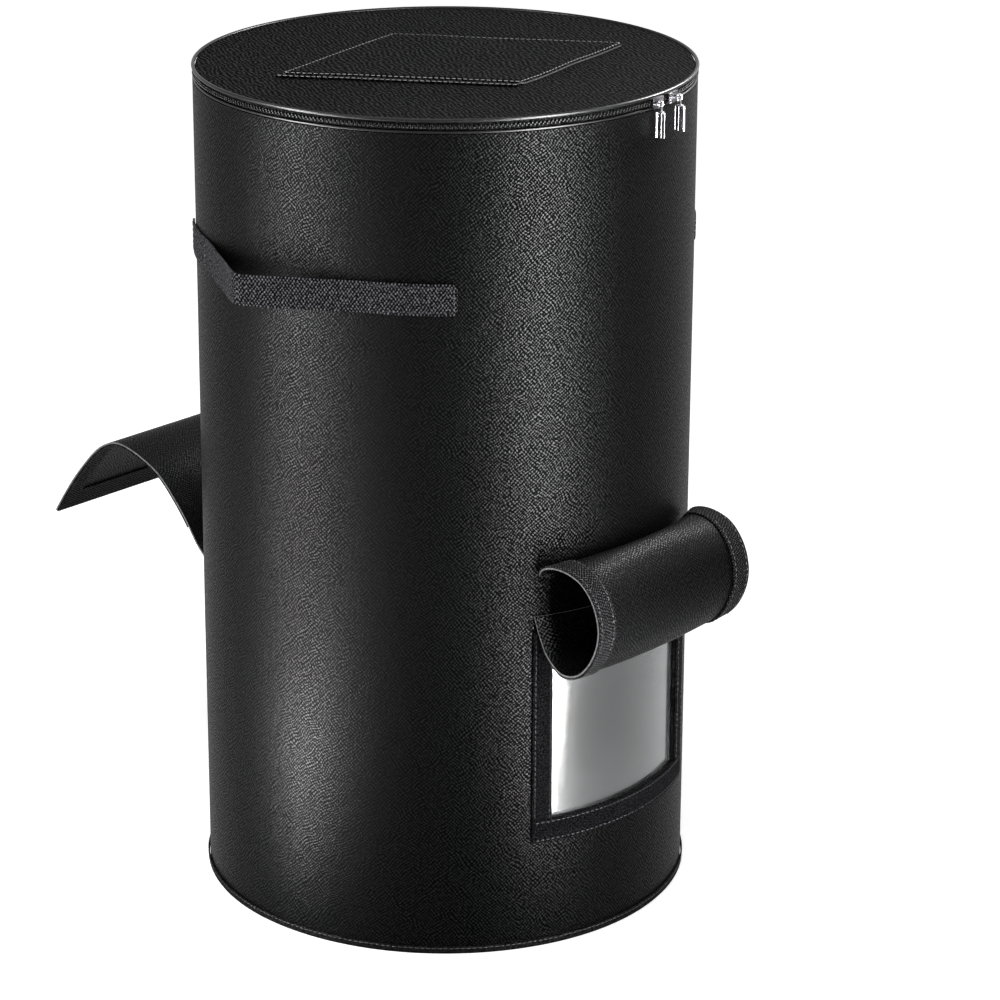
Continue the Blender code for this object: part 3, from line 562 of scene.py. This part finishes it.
def smoothLine(points):
    # a smooth curve through the points, in short straight runs
    knots = [tuple(2 * a - b for a, b in zip(points[0], points[1]))] + list(points)
    knots.append(tuple(2 * a - b for a, b in zip(points[-1], points[-2])))
    line = []
    for a, b, c, d in zip(knots, knots[1:], knots[2:], knots[3:]):
        for i in range(24):
            t = i / 24
            line.append(tuple(0.5 * (2 * q + (r - p) * t + (2 * p - 5 * q + 4 * r - s) * t * t
                                     + (3 * q - p - 3 * r + s) * t ** 3) for p, q, r, s in zip(a, b, c, d)))
    line.append(tuple(points[-1]))
    return line


def sagAt(across):
    return wall["radius"] - sqrt(wall["radius"] ** 2 - across ** 2)


lineCache = {}


def flapLine(side, across):
    # the flap's middle surface at one distance across, as even steps of one millimetre
    key = (side, round(across, 5))
    if key not in lineCache:
        flap = flaps[side]
        line = smoothLine(flap["section"])
        if side == "front":
            # the wall bulges into the roll's back, where the cloth is pressed up and down
            deep = sagAt(flapCloth["half"])
            bulge = deep - sagAt(across)
            press = flapCloth["pressTo"] - flapCloth["pressFrom"]
            line = [(n - deep + bulge * (1 - min(1.0, max(0.0, (n - flapCloth["pressFrom"]) / press)))
                     ** flapCloth["pressPower"], z * (1 + flapCloth["swell"] * bulge / deep)) for n, z in line]
        count = round(flap["length"] / flapCloth["step"])
        places, run, k = [], 0.0, 0
        steps = [hypot(b[0] - a[0], b[1] - a[1]) for a, b in zip(line, line[1:])]
        for i in range(count + 2):
            target = flap["length"] * i / count
            while k < len(steps) - 1 and run + steps[k] < target:
                run += steps[k]
                k += 1
            t = (target - run) / steps[k]
            places.append([p + (q - p) * t for p, q in zip(line[k], line[k + 1])])
        if side == "back":
            for i, place in enumerate(places):
                place[0] -= sagAt(across) * max(0.0, 1 - i * flapCloth["step"] / flapCloth["flatten"]) ** 2
        lineCache[key] = places
    return lineCache[key]


def flapPlace(side, across, down, out=0.0):
    # across and down the flat cloth, and off its middle surface toward its inner face
    window = windows[side]
    outward = Vector((cos(window["angle"]), sin(window["angle"]), 0))
    along = Vector((-sin(window["angle"]), cos(window["angle"]), 0))
    seat = wall["radius"] + flapCloth["gap"] + flapCloth["thickness"] / 2

    def middle(a, d):
        line = flapLine(side, a)
        i = min(len(line) - 2, max(0, int(d * 1000)))
        t = d * 1000 - i
        n, z = [p + (q - p) * t for p, q in zip(line[i], line[i + 1])]
        return outward * (seat + n) + along * a + Vector((0, 0, window["root"] + z))

    place = middle(across, down)
    if not out:
        return place
    small = flapCloth["probe"]
    left, right = max(-flapCloth["half"], across - small), min(flapCloth["half"], across + small)
    top, end = max(0.0, down - small), min(flaps[side]["length"], down + small)
    normal = (middle(right, down) - middle(left, down)).cross(middle(across, end) - middle(across, top))
    return place + normal.normalized() * out


def bendOnFlap(piece, side, lift=0.0):
    for vert in piece.data.vertices:
        across, down, out = vert.co
        vert.co = flapPlace(side, across, down, lift + out)


def makeFlap(side):
    flap = flaps[side]
    half = flapCloth["half"]
    cloth = flatCloth(f"{side}Flap", -half, half, 0.0, flap["length"], flapCloth["columns"], flapCloth["rows"])
    bendOnFlap(cloth, side)
    cloth.data.materials.append(oxford)
    cloth.data.materials.append(paintedEdgeHighlight)
    # the flap's rim takes the pale edge colour, a painted highlight
    thicken(cloth, flapCloth["thickness"], 0.0, 1)
    smooth(cloth)
    body = "flap_" + side
    if side == "back":
        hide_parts("back_flap")
        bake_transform(cloth)
    else:
        dress(cloth, body, "shell_fabric", ["front_flap"])
    lift = flapCloth["thickness"] / 2 + flapCloth["gap"] + flapCloth["hook"] / 2
    first, last = flap["length"] * flap["hookFrom"], flap["length"] * flap["hookTo"]
    wide, edge, rows = flapCloth["hookWidth"], flapCloth["stitchIn"], flapCloth["hookRows"]
    strips = {"Left": (-half, -half + wide, first, last, 8, rows),
              "Right": (half - wide, half, first, last, 8, rows),
              "Bottom": (-half, half, last + flapCloth["seam"], flap["length"], flapCloth["columns"], 6)}
    for place, (x0, x1, y0, y1, stepsX, stepsY) in strips.items():
        tape = flatCloth(f"{side}HookTape{place}", x0, x1, y0, y1, stepsX, stepsY)
        bendOnFlap(tape, side, lift)
        tape.data.materials.append(hookPile)
        thicken(tape, flapCloth["hook"], 0.0)
        smooth(tape)
        dress(tape, body, "hook_tape", [f"{side}_hook_tape_{place.lower()}"])
    surface = lift + flapCloth["hook"] / 2

    def onHook(across, down):
        here = flapPlace(side, across, down, surface)
        return here, here - flapPlace(side, across, down)

    for number, across in enumerate((-half + edge, -half + wide - edge, half - wide + edge, half - edge)):
        sew(f"{side}HookStitches{number}", body, (across, first, across, last), onHook, blackThread)


makeFlap("front")
makeFlap("back")
print("flaps made")


# Rim: piping, zip tapes and teeth

lidHinge = {"axis": radians(-71.5), "half": radians(20.0), "margin": radians(2.0), "zipEnd": radians(152.0),
            "bodyGap": radians(0.3), "pipingGap": radians(0.2)}
zipRow = {"chainZ": 0.5945, "radius": 0.175, "tapeOut": 0.1733, "tapeHeight": 0.0024, "tape": 0.0009,
          "tapeGap": 0.0002, "pitch": 0.0029, "toothSize": (0.0015, 0.0016, 0.0015), "toothBevel": 0.00042,
          "toothRise": 0.00045, "bodyIn": 0.0004, "lidIn": 0.0011}
# each piping: radius of its ring, and of its cord
pipings = {"rim": (0.1741, 0.0009), "lid": (0.1745, 0.0013)}
stepsRim = 300


def cordStrip(name, kind, sweepHalf, body, nodes, middle=lidHinge["axis"]):
    # a grid closed into a tube round its own length, then bent round the rim
    radius, cordRadius = pipings[kind]
    low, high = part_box(f"{kind}_piping")
    height = (low.z + high.z) / 2
    length = 2 * sweepHalf * radius
    around = 2 * pi * cordRadius
    cord = flatCloth(name, -length / 2, length / 2, 0.0, around, stepsRim, 12)
    for vert in cord.data.vertices:
        along, turn = vert.co.x, vert.co.y / cordRadius
        angle = middle + along / radius
        reach = radius + cordRadius * cos(turn)
        vert.co = (reach * cos(angle), reach * sin(angle), height + cordRadius * sin(turn))
    editAll(cord)
    bpy.ops.mesh.remove_doubles(threshold=0.000005)
    bpy.ops.mesh.select_all(action="DESELECT")
    bpy.ops.mesh.select_mode(type="EDGE")
    bpy.ops.mesh.select_non_manifold()
    bpy.ops.mesh.fill_holes(sides=0)
    bpy.ops.mesh.select_all(action="SELECT")
    bpy.ops.mesh.normals_make_consistent(inside=False)
    leaveEdit()
    smooth(cord, 60)
    dress(cord, body, "piping", nodes, pipingCloth)


def zipTeeth(name, upward, body, node):
    # the two rows stand half a pitch apart, so that their teeth mesh
    sweep = 2 * lidHinge["zipEnd"] * zipRow["radius"]
    count = round(sweep / zipRow["pitch"])
    pitch = sweep / count
    rise = zipRow["toothRise"] if not upward else -zipRow["toothRise"]
    radius = zipRow["radius"] - (zipRow["bodyIn"] if upward else zipRow["lidIn"])
    shift = pitch / 2 if upward else 0.0
    places = []
    for k in range(count - 1 if upward else count):
        angle = lidHinge["axis"] + (-sweep / 2 + shift + (k + 0.5) * pitch) / zipRow["radius"]
        places.append(Matrix.Rotation(angle, 4, "Z") @ Matrix.Translation((radius, 0, zipRow["chainZ"] + rise)))
    teeth = repeat(roundedBar(zipRow["toothSize"], zipRow["toothBevel"], 2), places, name)
    dress(teeth, body, "zip_teeth", [node], toothAcetal)


def zipBand(name, low, high, sweepHalf, body, node):
    reach = sweepHalf * wall["radius"]
    band = flatCloth(name, -reach, reach, low, high, stepsRim, 3)
    radius = zipRow["tapeOut"] - zipRow["tape"]
    for vert in band.data.vertices:
        angle = lidHinge["axis"] + vert.co.x / wall["radius"]
        vert.co = (radius * cos(angle), radius * sin(angle), vert.co.y)
    thicken(band, zipRow["tape"])
    smooth(band)
    dress(band, body, "zip_teeth", [node], zipTwill)


def makeRim():
    bodyEnd = pi - lidHinge["half"] - lidHinge["bodyGap"]
    lidEnd = pi - lidHinge["half"] - lidHinge["margin"]
    chain, gap, high = zipRow["chainZ"], zipRow["tapeGap"], zipRow["tapeHeight"]
    zipBand("bodyZipTape", chain - gap - high, chain - gap, bodyEnd, "bin", "body_zip_tape")
    zipBand("lidZipTape", chain + gap, chain + gap + high, lidEnd, "lid", "lid_zip_tape")
    zipTeeth("bodyZipTeeth", True, "bin", "body_zip_teeth")
    zipTeeth("lidZipTeeth", False, "lid", "lid_zip_teeth")
    cordStrip("rimPiping", "rim", bodyEnd, "bin", ["rim_piping"])
    cordStrip("lidPiping", "lid", lidEnd, "lid", ["lid_piping"])
    cordStrip("hingePiping", "lid", pi - lidEnd - lidHinge["pipingGap"], "bin", [], lidHinge["axis"] + pi)


makeRim()
print("rim and zip made")


# Lid, hinge strip and hatch

lidCloth = {"thickness": 0.0014, "top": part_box("lid_panel")[1].z, "radius": 0.1727, "span": 0.176, "steps": 90,
            "ripple": 0.0006, "rippleEnd": 0.168, "gap": 0.0003, "stripRadius": 0.1745, "stripHalf": 0.07,
            "skirtRadius": 0.1725, "skirtThickness": 0.0015, "skirtDown": 0.001, "skirtBack": 0.0007}
hatch = {"axis": radians(-57.8), "skew": radians(20.8), "length": 0.166, "width": 0.1345, "along": 0.0067,
         "across": 0.0013, "tapeWidth": 0.018, "tape": 0.0005, "thickness": 0.0010, "corner": 0.004,
         "seamWidth": 0.006, "seamEdge": 0.0003, "holeMargin": 0.002, "tapeMargin": 0.0045, "droop": 0.0017,
         "stitchIn": 0.0016, "seamStitchIn": 0.0015}


def lidRipple(x, y):
    # the lid's cloth lies a little unevenly; it is pulled flat at the rim
    edge = max(0.0, 1 - (hypot(x, y) / lidCloth["rippleEnd"]) ** 4)
    return lidCloth["ripple"] * edge * noise.noise(Vector((x * 21, y * 21, 0.3)))


def lidPoint(along, across):
    axis = lidHinge["axis"]
    return (cos(axis) * along - sin(axis) * across, sin(axis) * along + cos(axis) * across)


def hatchPoint(along, across):
    # from the hatch's middle, along its hinge edge and square to it; the hatch is cut askew
    axis = hatch["axis"]
    a = hatch["along"] + along + across * tan(hatch["skew"])
    b = hatch["across"] + across
    return (cos(axis) * a - sin(axis) * b, sin(axis) * a + cos(axis) * b)


def slabOnLid(name, x0, x1, y0, y1, stepsX, stepsY, thickness, top, corner=0.0):
    # a flat cloth slab in the lid's own directions, x along its axis, before it is cut
    slab = flatCloth(name, x0, x1, y0, y1, stepsX, stepsY)
    if corner:
        for vert in slab.data.vertices:
            dx = max(0.0, abs(vert.co.x - (x0 + x1) / 2) - (x1 - x0) / 2 + corner)
            dy = max(0.0, abs(vert.co.y - (y0 + y1) / 2) - (y1 - y0) / 2 + corner)
            if dx > 0 and dy > 0:
                # squeeze the corner square into its quarter circle
                share = max(dx, dy) / hypot(dx, dy)
                sx = 1 if vert.co.x > (x0 + x1) / 2 else -1
                sy = 1 if vert.co.y > (y0 + y1) / 2 else -1
                vert.co.x += sx * dx * (share - 1)
                vert.co.y += sy * dy * (share - 1)
        realSizeUv(slab)
    for vert in slab.data.vertices:
        vert.co.z = top - thickness
    thicken(slab, thickness)
    return slab


def discCutter(radius, z):
    tool = newShape(bpy.ops.mesh.primitive_cylinder_add, vertices=240, radius=radius, depth=0.02,
                    location=(0, 0, z))
    bpy.ops.object.transform_apply(location=True, rotation=True, scale=True)
    return tool


def boxCutter(long, wide, z):
    tool = newShape(bpy.ops.mesh.primitive_cube_add, size=1.0, location=(0, 0, z), scale=(long, wide, 0.02))
    bpy.ops.object.transform_apply(location=True, rotation=True, scale=True)
    return tool


def cutWith(piece, tool, operation):
    step = piece.modifiers.new("cut", "BOOLEAN")
    step.operation = operation
    step.object = tool
    step.solver = "EXACT"
    applyAll(piece)
    bpy.data.objects.remove(tool, do_unlink=True)


def turnSlab(piece, point):
    # from a piece's own directions to the bin's
    for vert in piece.data.vertices:
        vert.co.xy = point(vert.co.x, vert.co.y)
    return piece


def rippleSlab(piece):
    for vert in piece.data.vertices:
        vert.co.z += lidRipple(vert.co.x, vert.co.y)
    return piece


def makeLid():
    chord = wall["radius"] * cos(lidHinge["half"])
    top, span, thickness = lidCloth["top"], lidCloth["span"], lidCloth["thickness"]
    panel = slabOnLid("lidCloth", -chord + lidCloth["gap"] / 2, span, -span, span, lidCloth["steps"],
                      lidCloth["steps"], thickness, top)
    turnSlab(panel, lidPoint)
    cutWith(panel, discCutter(lidCloth["radius"], top), "INTERSECT")
    inner = hatchInner()
    hole = boxCutter(inner[0] - 2 * hatch["holeMargin"], inner[1] - 2 * hatch["holeMargin"], top)
    cutWith(panel, turnSlab(hole, hatchPoint), "DIFFERENCE")
    smooth(rippleSlab(panel))
    dress(panel, "lid", "shell_fabric", ["lid_panel"], paintedLitLidOxford)

    strip = slabOnLid("lidHingeStrip", -span, -chord - lidCloth["gap"] / 2, -lidCloth["stripHalf"],
                      lidCloth["stripHalf"], 10, 60, thickness, top)
    turnSlab(strip, lidPoint)
    cutWith(strip, discCutter(lidCloth["stripRadius"], top), "INTERSECT")
    smooth(rippleSlab(strip))
    dress(strip, "bin", "shell_fabric", ["lid_hinge_panel"], paintedLitLidOxford)

    # past the fold the skirt is lower than the lid's cloth, and closes the corner up to the zip's end
    reach = acos((chord + lidCloth["skirtBack"]) / lidCloth["skirtRadius"]) * wall["radius"]
    fullReach = (lidHinge["half"] + lidHinge["bodyGap"]) * wall["radius"]
    skirt = flatCloth("lidHingeSkirt", -fullReach, fullReach, wall["top"] + lidCloth["gap"],
                      top - lidCloth["skirtDown"], 80, 6)
    for vert in skirt.data.vertices:
        if abs(vert.co.x) > reach:
            vert.co.y = min(vert.co.y, top - thickness - lidCloth["ripple"] - lidCloth["gap"])
    wrapRound(skirt, lidCloth["skirtRadius"], lidHinge["axis"] + pi)
    thicken(skirt, lidCloth["skirtThickness"])
    smooth(skirt)
    dress(skirt, "bin", "shell_fabric", [], oxford)


def hatchInner():
    return (hatch["length"] - 2 * hatch["tapeWidth"] / cos(hatch["skew"]), hatch["width"] - 2 * hatch["tapeWidth"])


def makeHatch():
    half, wide = hatch["length"] / 2, hatch["width"] / 2
    tapeTop = lidCloth["top"] + lidCloth["gap"] + hatch["tape"]
    trim = hatch["tapeMargin"]
    for name, top, body, slot, node, finish in (
            ("hatchLoopTape", tapeTop, "lid", "loop_tape", "hatch_loop_tape", loopPile),
            ("hatchHookTape", tapeTop + lidCloth["gap"] + hatch["tape"], "hatch", "hook_tape", "hatch_hook_tape",
             hookPile)):
        tape = slabOnLid(name, -half + trim, half - trim, -wide + trim, wide - trim, 42, 34, hatch["tape"], top,
                         hatch["corner"])
        cutWith(tape, boxCutter(*hatchInner(), top), "DIFFERENCE")
        smooth(rippleSlab(turnSlab(tape, hatchPoint)))
        dress(tape, body, slot, [node], finish)

    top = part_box("hatch_flap")[1].z
    cloth = slabOnLid("hatchFlap", -half, half, -wide, wide, 84, 68, hatch["thickness"], top, hatch["corner"])
    for vert in cloth.data.vertices:
        # past its tapes the flap's edge sinks to the lid
        inside = min(half - abs(vert.co.x), wide - abs(vert.co.y)) / trim
        vert.co.z -= hatch["droop"] * (1 - min(1.0, max(0.0, inside))) ** 2
    cloth.data.materials.append(paintedLitLidOxford)
    cloth.data.materials.append(paintedEdgeHighlight)
    # the hatch's sides take the pale edge colour, a painted highlight
    for face in cloth.data.polygons:
        face.material_index = 1 if abs(face.normal.z) < 0.5 else 0
    rippleSlab(turnSlab(cloth, hatchPoint))
    smooth(cloth)
    dress(cloth, "hatch", "shell_fabric", ["hatch_flap"])
    hatch["length"] / cos(hatch["skew"])

    seamTop = lidCloth["top"] + lidCloth["gap"] + hatch["thickness"]
    y1 = -wide - lidCloth["gap"]
    y0 = y1 - hatch["seamWidth"]
    seam = slabOnLid("hatchSeam", -half, half, y0, y1, 56, 4, hatch["thickness"], seamTop)
    rippleSlab(turnSlab(seam, hatchPoint))
    smooth(soften(seam, hatch["seamEdge"]))
    dress(seam, "lid", "shell_fabric", ["hatch_seam_tape"], paintedLitLidOxford)

    inset = hatch["stitchIn"]
    low = top - hatch["droop"] * (1 - inset / trim) ** 2
    x, y, line = half - inset, wide - inset, y0 + hatch["seamStitchIn"]
    rows = (("lid", seamTop, (-half, line, half, line)), ("hatch", low, (-x, -y, x, -y)),
            ("hatch", low, (-x, y, x, y)), ("hatch", low, (-x, -y, -x, y)), ("hatch", low, (x, -y, x, y)))
    for number, (body, z, ends) in enumerate(rows):
        def onHatch(along, across, z=z):
            x, y = hatchPoint(along, across)
            return Vector((x, y, z + lidRipple(x, y))), Vector((0, 0, 1))

        sew(f"hatchStitches{number}", body, ends, onHatch, paintedLitThread)


makeLid()
makeHatch()
print("lid and hatch made")


# Webbing handles: each is two halves, sewn to the wall at one end and free in the middle

handle = {"height": 0.478, "width": 0.0215, "thickness": 0.0016, "freeAngle": radians(25.5), "padArc": 0.060,
          "apex": 0.028, "bendDrop": 0.0025, "bendSide": 0.008, "gap": 0.0005, "stepsLong": 110, "stepsWide": 8,
          "stepsPad": 40, "blendFrom": 0.064, "blendTo": 0.038, "corner": 0.004, "edge": 0.0004,
          "stitchIn": 0.0022, "stitchEnd": 0.002}


def handleLine():
    # the webbing's inner face in plan, from its sewn end to its middle: distance out, distance to one side
    seat = wall["radius"] + handle["gap"]
    padEnd = handle["freeAngle"] + handle["padArc"] / wall["radius"]
    steps = handle["stepsPad"]
    angles = [padEnd + (handle["freeAngle"] - padEnd) * i / steps for i in range(steps + 1)]
    pad = [(seat * cos(angle), seat * sin(angle)) for angle in angles]
    end = pad[-1]
    bend = (wall["radius"] + handle["apex"] - handle["bendDrop"], handle["bendSide"])
    run = [(end[0] + (bend[0] - end[0]) * t, end[1] + (bend[1] - end[1]) * t) for t in (0.0, 1 / 3, 2 / 3, 1.0)]
    top = (wall["radius"] + handle["apex"], 0.0)
    free = smoothLine(run + [top] + [(n, -y) for n, y in run[::-1]])
    return pad[:-1] + [p for p in free if p[1] >= 0]


def alongHandle(line, runs, distance, lift):
    # distance out and to one side at a distance from the sewn end, on the webbing's face that lift picks
    k = max(0, min(len(runs) - 2, next((i for i, run in enumerate(runs) if run > distance), len(runs)) - 1))
    t = (distance - runs[k]) / (runs[k + 1] - runs[k])
    (n0, y0), (n1, y1) = line[k], line[k + 1]
    step = hypot(n1 - n0, y1 - y0)
    off = ((y0 - y1) / step, (n1 - n0) / step)
    return n0 + (n1 - n0) * t + off[0] * lift, y0 + (y1 - y0) * t + off[1] * lift, off


def makeHandle(side, middle):
    line = handleLine()
    runs = [0.0]
    for a, b in zip(line, line[1:]):
        runs.append(runs[-1] + hypot(b[0] - a[0], b[1] - a[1]))
    outward = Vector((cos(middle), sin(middle), 0))
    along = Vector((-sin(middle), cos(middle), 0))
    half, corner, thickness = handle["width"] / 2, handle["corner"], handle["thickness"]
    for part, sign in (("Front", 1), ("Back", -1)):
        strap = flatCloth(f"{side}Handle{part}", 0.0, runs[-1], -half, half, handle["stepsLong"],
                          handle["stepsWide"])
        for vert in strap.data.vertices:
            distance, up = vert.co.x, vert.co.y
            n, y, off = alongHandle(line, runs, distance, thickness / 2)
            narrow = 1.0
            if distance < corner and abs(up) > half - corner:
                reach = sqrt(max(0.0, corner ** 2 - (corner - distance) ** 2))
                narrow = (half - corner + reach) / half
            vert.co = outward * n + along * (y * sign) + Vector((0, 0, handle["height"] + up * narrow))
        thicken(strap, thickness, 0.0)
        editAll(strap)
        bpy.ops.mesh.normals_make_consistent(inside=False)
        leaveEdit()
        smooth(soften(strap, handle["edge"]))
        strap.data.materials.append(webbing)
        ends = f"{side}_handle_end_{'front' if (middle == 0) != (sign > 0) else 'back'}"
        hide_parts(ends, f"{side}_handle_strap")
        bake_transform(strap)

        def onHandle(distance, up, sign=sign):
            n, y, off = alongHandle(line, runs, distance, thickness)
            place = outward * n + along * (y * sign) + Vector((0, 0, handle["height"] + up))
            return place, outward * off[0] + along * (off[1] * sign)

        near, far, up = handle["stitchIn"], handle["padArc"] - handle["stitchEnd"], half - handle["stitchIn"]
        for number, seam in enumerate(((near, up, far, up), (near, -up, far, -up), (near, -up, near, up),
                                       (far, -up, far, up))):
            sew(f"{side}Handle{part}Stitches{number}", "bin", seam, onHandle, blackThread)


makeHandle("left", pi)
makeHandle("right", 0.0)
print("handles made")


# Zip pulls: a thin plate with one thick and two thin round ribs, hung by a ring; the thick ribs face away from each
# other. Sliders and stops keep the frame's shapes

pull = {"angle": {"left": radians(-84.49), "right": radians(-78.11)}, "outward": {"left": -1, "right": 1},
        "pivot": 0.181, "ring": 0.0018, "ringWire": 0.0006, "top": -0.0058, "bottom": -0.0231,
        "plate": (0.0056, 0.0003), "plateShift": 0.0003, "neck": (0.0022, 0.0013, 0.0045), "barRadius": 0.0009,
        "edge": 0.00012}
# each rib: its place across the plate, its radius and its finish; the plate and its thin ribs are darkened as painted
# shade
pullRibs = ((0.0033, 0.0012, chromePlate), (-0.0006, 0.0004, nickelAndPaintedShade), (-0.0031, 0.0004, nickelAndPaintedShade))


def makePull(side):
    outward, top, bottom = pull["outward"][side], pull["top"], pull["bottom"]
    middleZ, length = (top + bottom) / 2, top - bottom
    parts = []

    def addPart(finish, primitive, **settings):
        part = newShape(primitive, **settings)
        part.data.materials.append(finish)
        parts.append(part)

    addPart(chromePlate, bpy.ops.mesh.primitive_torus_add, major_radius=pull["ring"],
            minor_radius=pull["ringWire"], major_segments=28, minor_segments=12, rotation=(pi / 2, 0, 0))
    addPart(nickelAndPaintedShade, bpy.ops.mesh.primitive_cube_add, size=1.0,
            location=(pull["plateShift"] * outward, 0, middleZ), scale=(*pull["plate"], length))
    addPart(chromePlate, bpy.ops.mesh.primitive_cube_add, size=1.0, location=(0, 0, (top - pull["ring"]) / 2),
            scale=pull["neck"])
    for x, radius, finish in pullRibs:
        addPart(finish, bpy.ops.mesh.primitive_cylinder_add, vertices=20, radius=radius, depth=length,
                location=(x * outward, 0, middleZ))
    addPart(chromePlate, bpy.ops.mesh.primitive_cylinder_add, vertices=20, radius=pull["barRadius"],
            depth=pull["plate"][0], location=(0, 0, top), rotation=(0, pi / 2, 0))
    piece = joined(parts, f"zipPull{side.capitalize()}")
    bpy.ops.object.transform_apply(location=True, rotation=True, scale=True)
    soften(piece, pull["edge"])
    low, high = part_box(f"zip_pull_{side}")
    angle = pull["angle"][side]
    roundRim = Vector((-sin(angle), cos(angle), 0))
    middle = (low + high) / 2
    place = Vector((cos(angle), sin(angle), 0)) * pull["pivot"] + roundRim * middle.dot(roundRim)
    place.z = zipRow["chainZ"]
    piece.data.transform(Matrix.Translation(place) @ Matrix.Rotation(angle, 4, "Z"))
    smooth(piece, 40)
    dress(piece, f"pull_{side}", "chrome", [f"zip_pull_{side}"])


makePull("left")
makePull("right")
for name, finish in (("zip_slider_left", nickelAndPaintedShade), ("zip_slider_right", nickelAndPaintedShade),
                     ("zip_stop_left", toothAcetal), ("zip_stop_right", toothAcetal)):
    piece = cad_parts[name]
    piece.data.materials.clear()
    piece.data.materials.append(finish)
print("zip fittings finished")


# Floor, world, lamps and camera

studio = {"floorSize": 14.0, "floorColour": "#f4f4f4", "floorGlow": 0.66, "worldLevel": 0.34}
cameraSet = {"azimuth": -47.5, "elevation": 19.3, "distance": 2.579, "aim": (0, 0, 0.30), "lens": 128.9,
             "sensor": 36.0, "shift": (0.0548, -0.0325), "clip": (0.05, 50.0)}
# each lamp: direction round the bin from the camera (right is positive), height, distance, size, watts, and the
# height it aims at; the narrow ones show only in gloss, and make the upright bands on the cloth and the light along
# the rolled flap
lamps = {"leftGlossStrip": (-57.5, 0.40, 0.46, (0.09, 0.76), 31.0, 0.40),
         "rightGlossStrip": (38.0, 0.40, 0.466, (0.13, 0.76), 51.0, 0.40),
         "lowLeftGloss": (-50.0, 0.075, 0.304, (0.045, 0.13), 3.9, 0.075),
         "lowRightGloss": (34.3, 0.075, 0.308, (0.045, 0.13), 1.2, 0.075),
         "rollGloss": (118.0, 0.98, 0.73, (0.30, 0.30), 34.0, 0.30),
         "flapGloss": (178.0, 0.49, 0.37, (0.12, 0.12), 1.0, 0.30),
         "topSoftbox": (-20.0, 2.1, 0.5, (1.2, 1.2), 24.0, 0.40),
         "frontSoftbox": (-25.0, 1.1, 2.2, (1.0, 1.0), 9.0, 0.40)}


def seenBackground(tree):
    # 1 where the camera, a mirror or a clear film looks, and 0 for the light that the surroundings give
    path = addNode(tree, "LightPath", {}, {})
    seen = addNode(tree, "Math", {"operation": "MAXIMUM"},
                   {0: path.outputs["Is Camera Ray"], 1: path.outputs["Is Glossy Ray"]})
    return addNode(tree, "Math", {"operation": "MAXIMUM"},
                   {0: seen, 1: path.outputs["Is Transmission Ray"]})


def makeFloor():
    # matt white paper: its own glow makes it plain white, and the light it takes leaves the bin's shadow on it
    floor = newShape(bpy.ops.mesh.primitive_grid_add, x_subdivisions=2, y_subdivisions=2, size=studio["floorSize"])
    floor.name = "floor"
    material, tree, shader = newMaterial("matPaperFloor", 0.95, specular=0.0)
    glow = addNode(tree, "Math", {"operation": "MULTIPLY"},
                   {0: seenBackground(tree), 1: studio["floorGlow"]})
    setInputs(tree, shader, {"Base Color": linear(studio["floorColour"]), "Emission Color": (1, 1, 1, 1),
                             "Emission Strength": glow})
    floor.data.materials.append(material)


def makeWorld():
    world = bpy.data.worlds.new("studioWorld")
    world.use_nodes = True
    bpy.context.scene.world = world
    tree = world.node_tree
    strength = addNode(tree, "MapRange", {},
                       {"Value": seenBackground(tree), "To Min": studio["worldLevel"], "To Max": 1.0})
    setInputs(tree, tree.nodes["Background"], {"Color": (1, 1, 1, 1), "Strength": strength})


def makeLamps():
    for name, (turn, height, distance, size, watts, aimHeight) in lamps.items():
        angle = radians(turn + cameraSet["azimuth"] - 90)
        data = bpy.data.lights.new(name, "AREA")
        data.shape = "RECTANGLE"
        data.size, data.size_y = size
        data.energy = watts
        lamp = bpy.data.objects.new(name, data)
        bpy.context.scene.collection.objects.link(lamp)
        lamp.location = (distance * cos(angle), distance * sin(angle), height)
        aim = Vector((0, 0, aimHeight)) - lamp.location
        lamp.rotation_euler = aim.to_track_quat("-Z", "Y").to_euler()
        lamp.visible_camera = False
        if "Gloss" in name:
            lamp.visible_diffuse = False
            lamp.visible_transmission = False


def makeCamera():
    data = bpy.data.cameras.new("photoCamera")
    data.lens = cameraSet["lens"]
    data.sensor_width = cameraSet["sensor"]
    data.shift_x, data.shift_y = cameraSet["shift"]
    data.clip_start, data.clip_end = cameraSet["clip"]
    camera = bpy.data.objects.new("photoCamera", data)
    bpy.context.scene.collection.objects.link(camera)
    turn, rise = radians(cameraSet["azimuth"]), radians(cameraSet["elevation"])
    back = Vector((sin(turn) * cos(rise), -cos(turn) * cos(rise), sin(rise)))
    camera.location = Vector(cameraSet["aim"]) + back * cameraSet["distance"]
    camera.rotation_euler = (-back).to_track_quat("-Z", "Y").to_euler()
    bpy.context.scene.camera = camera


makeFloor()
makeWorld()
makeLamps()
makeCamera()
bpy.context.scene.view_settings.view_transform = "Standard"
print("studio and camera made")
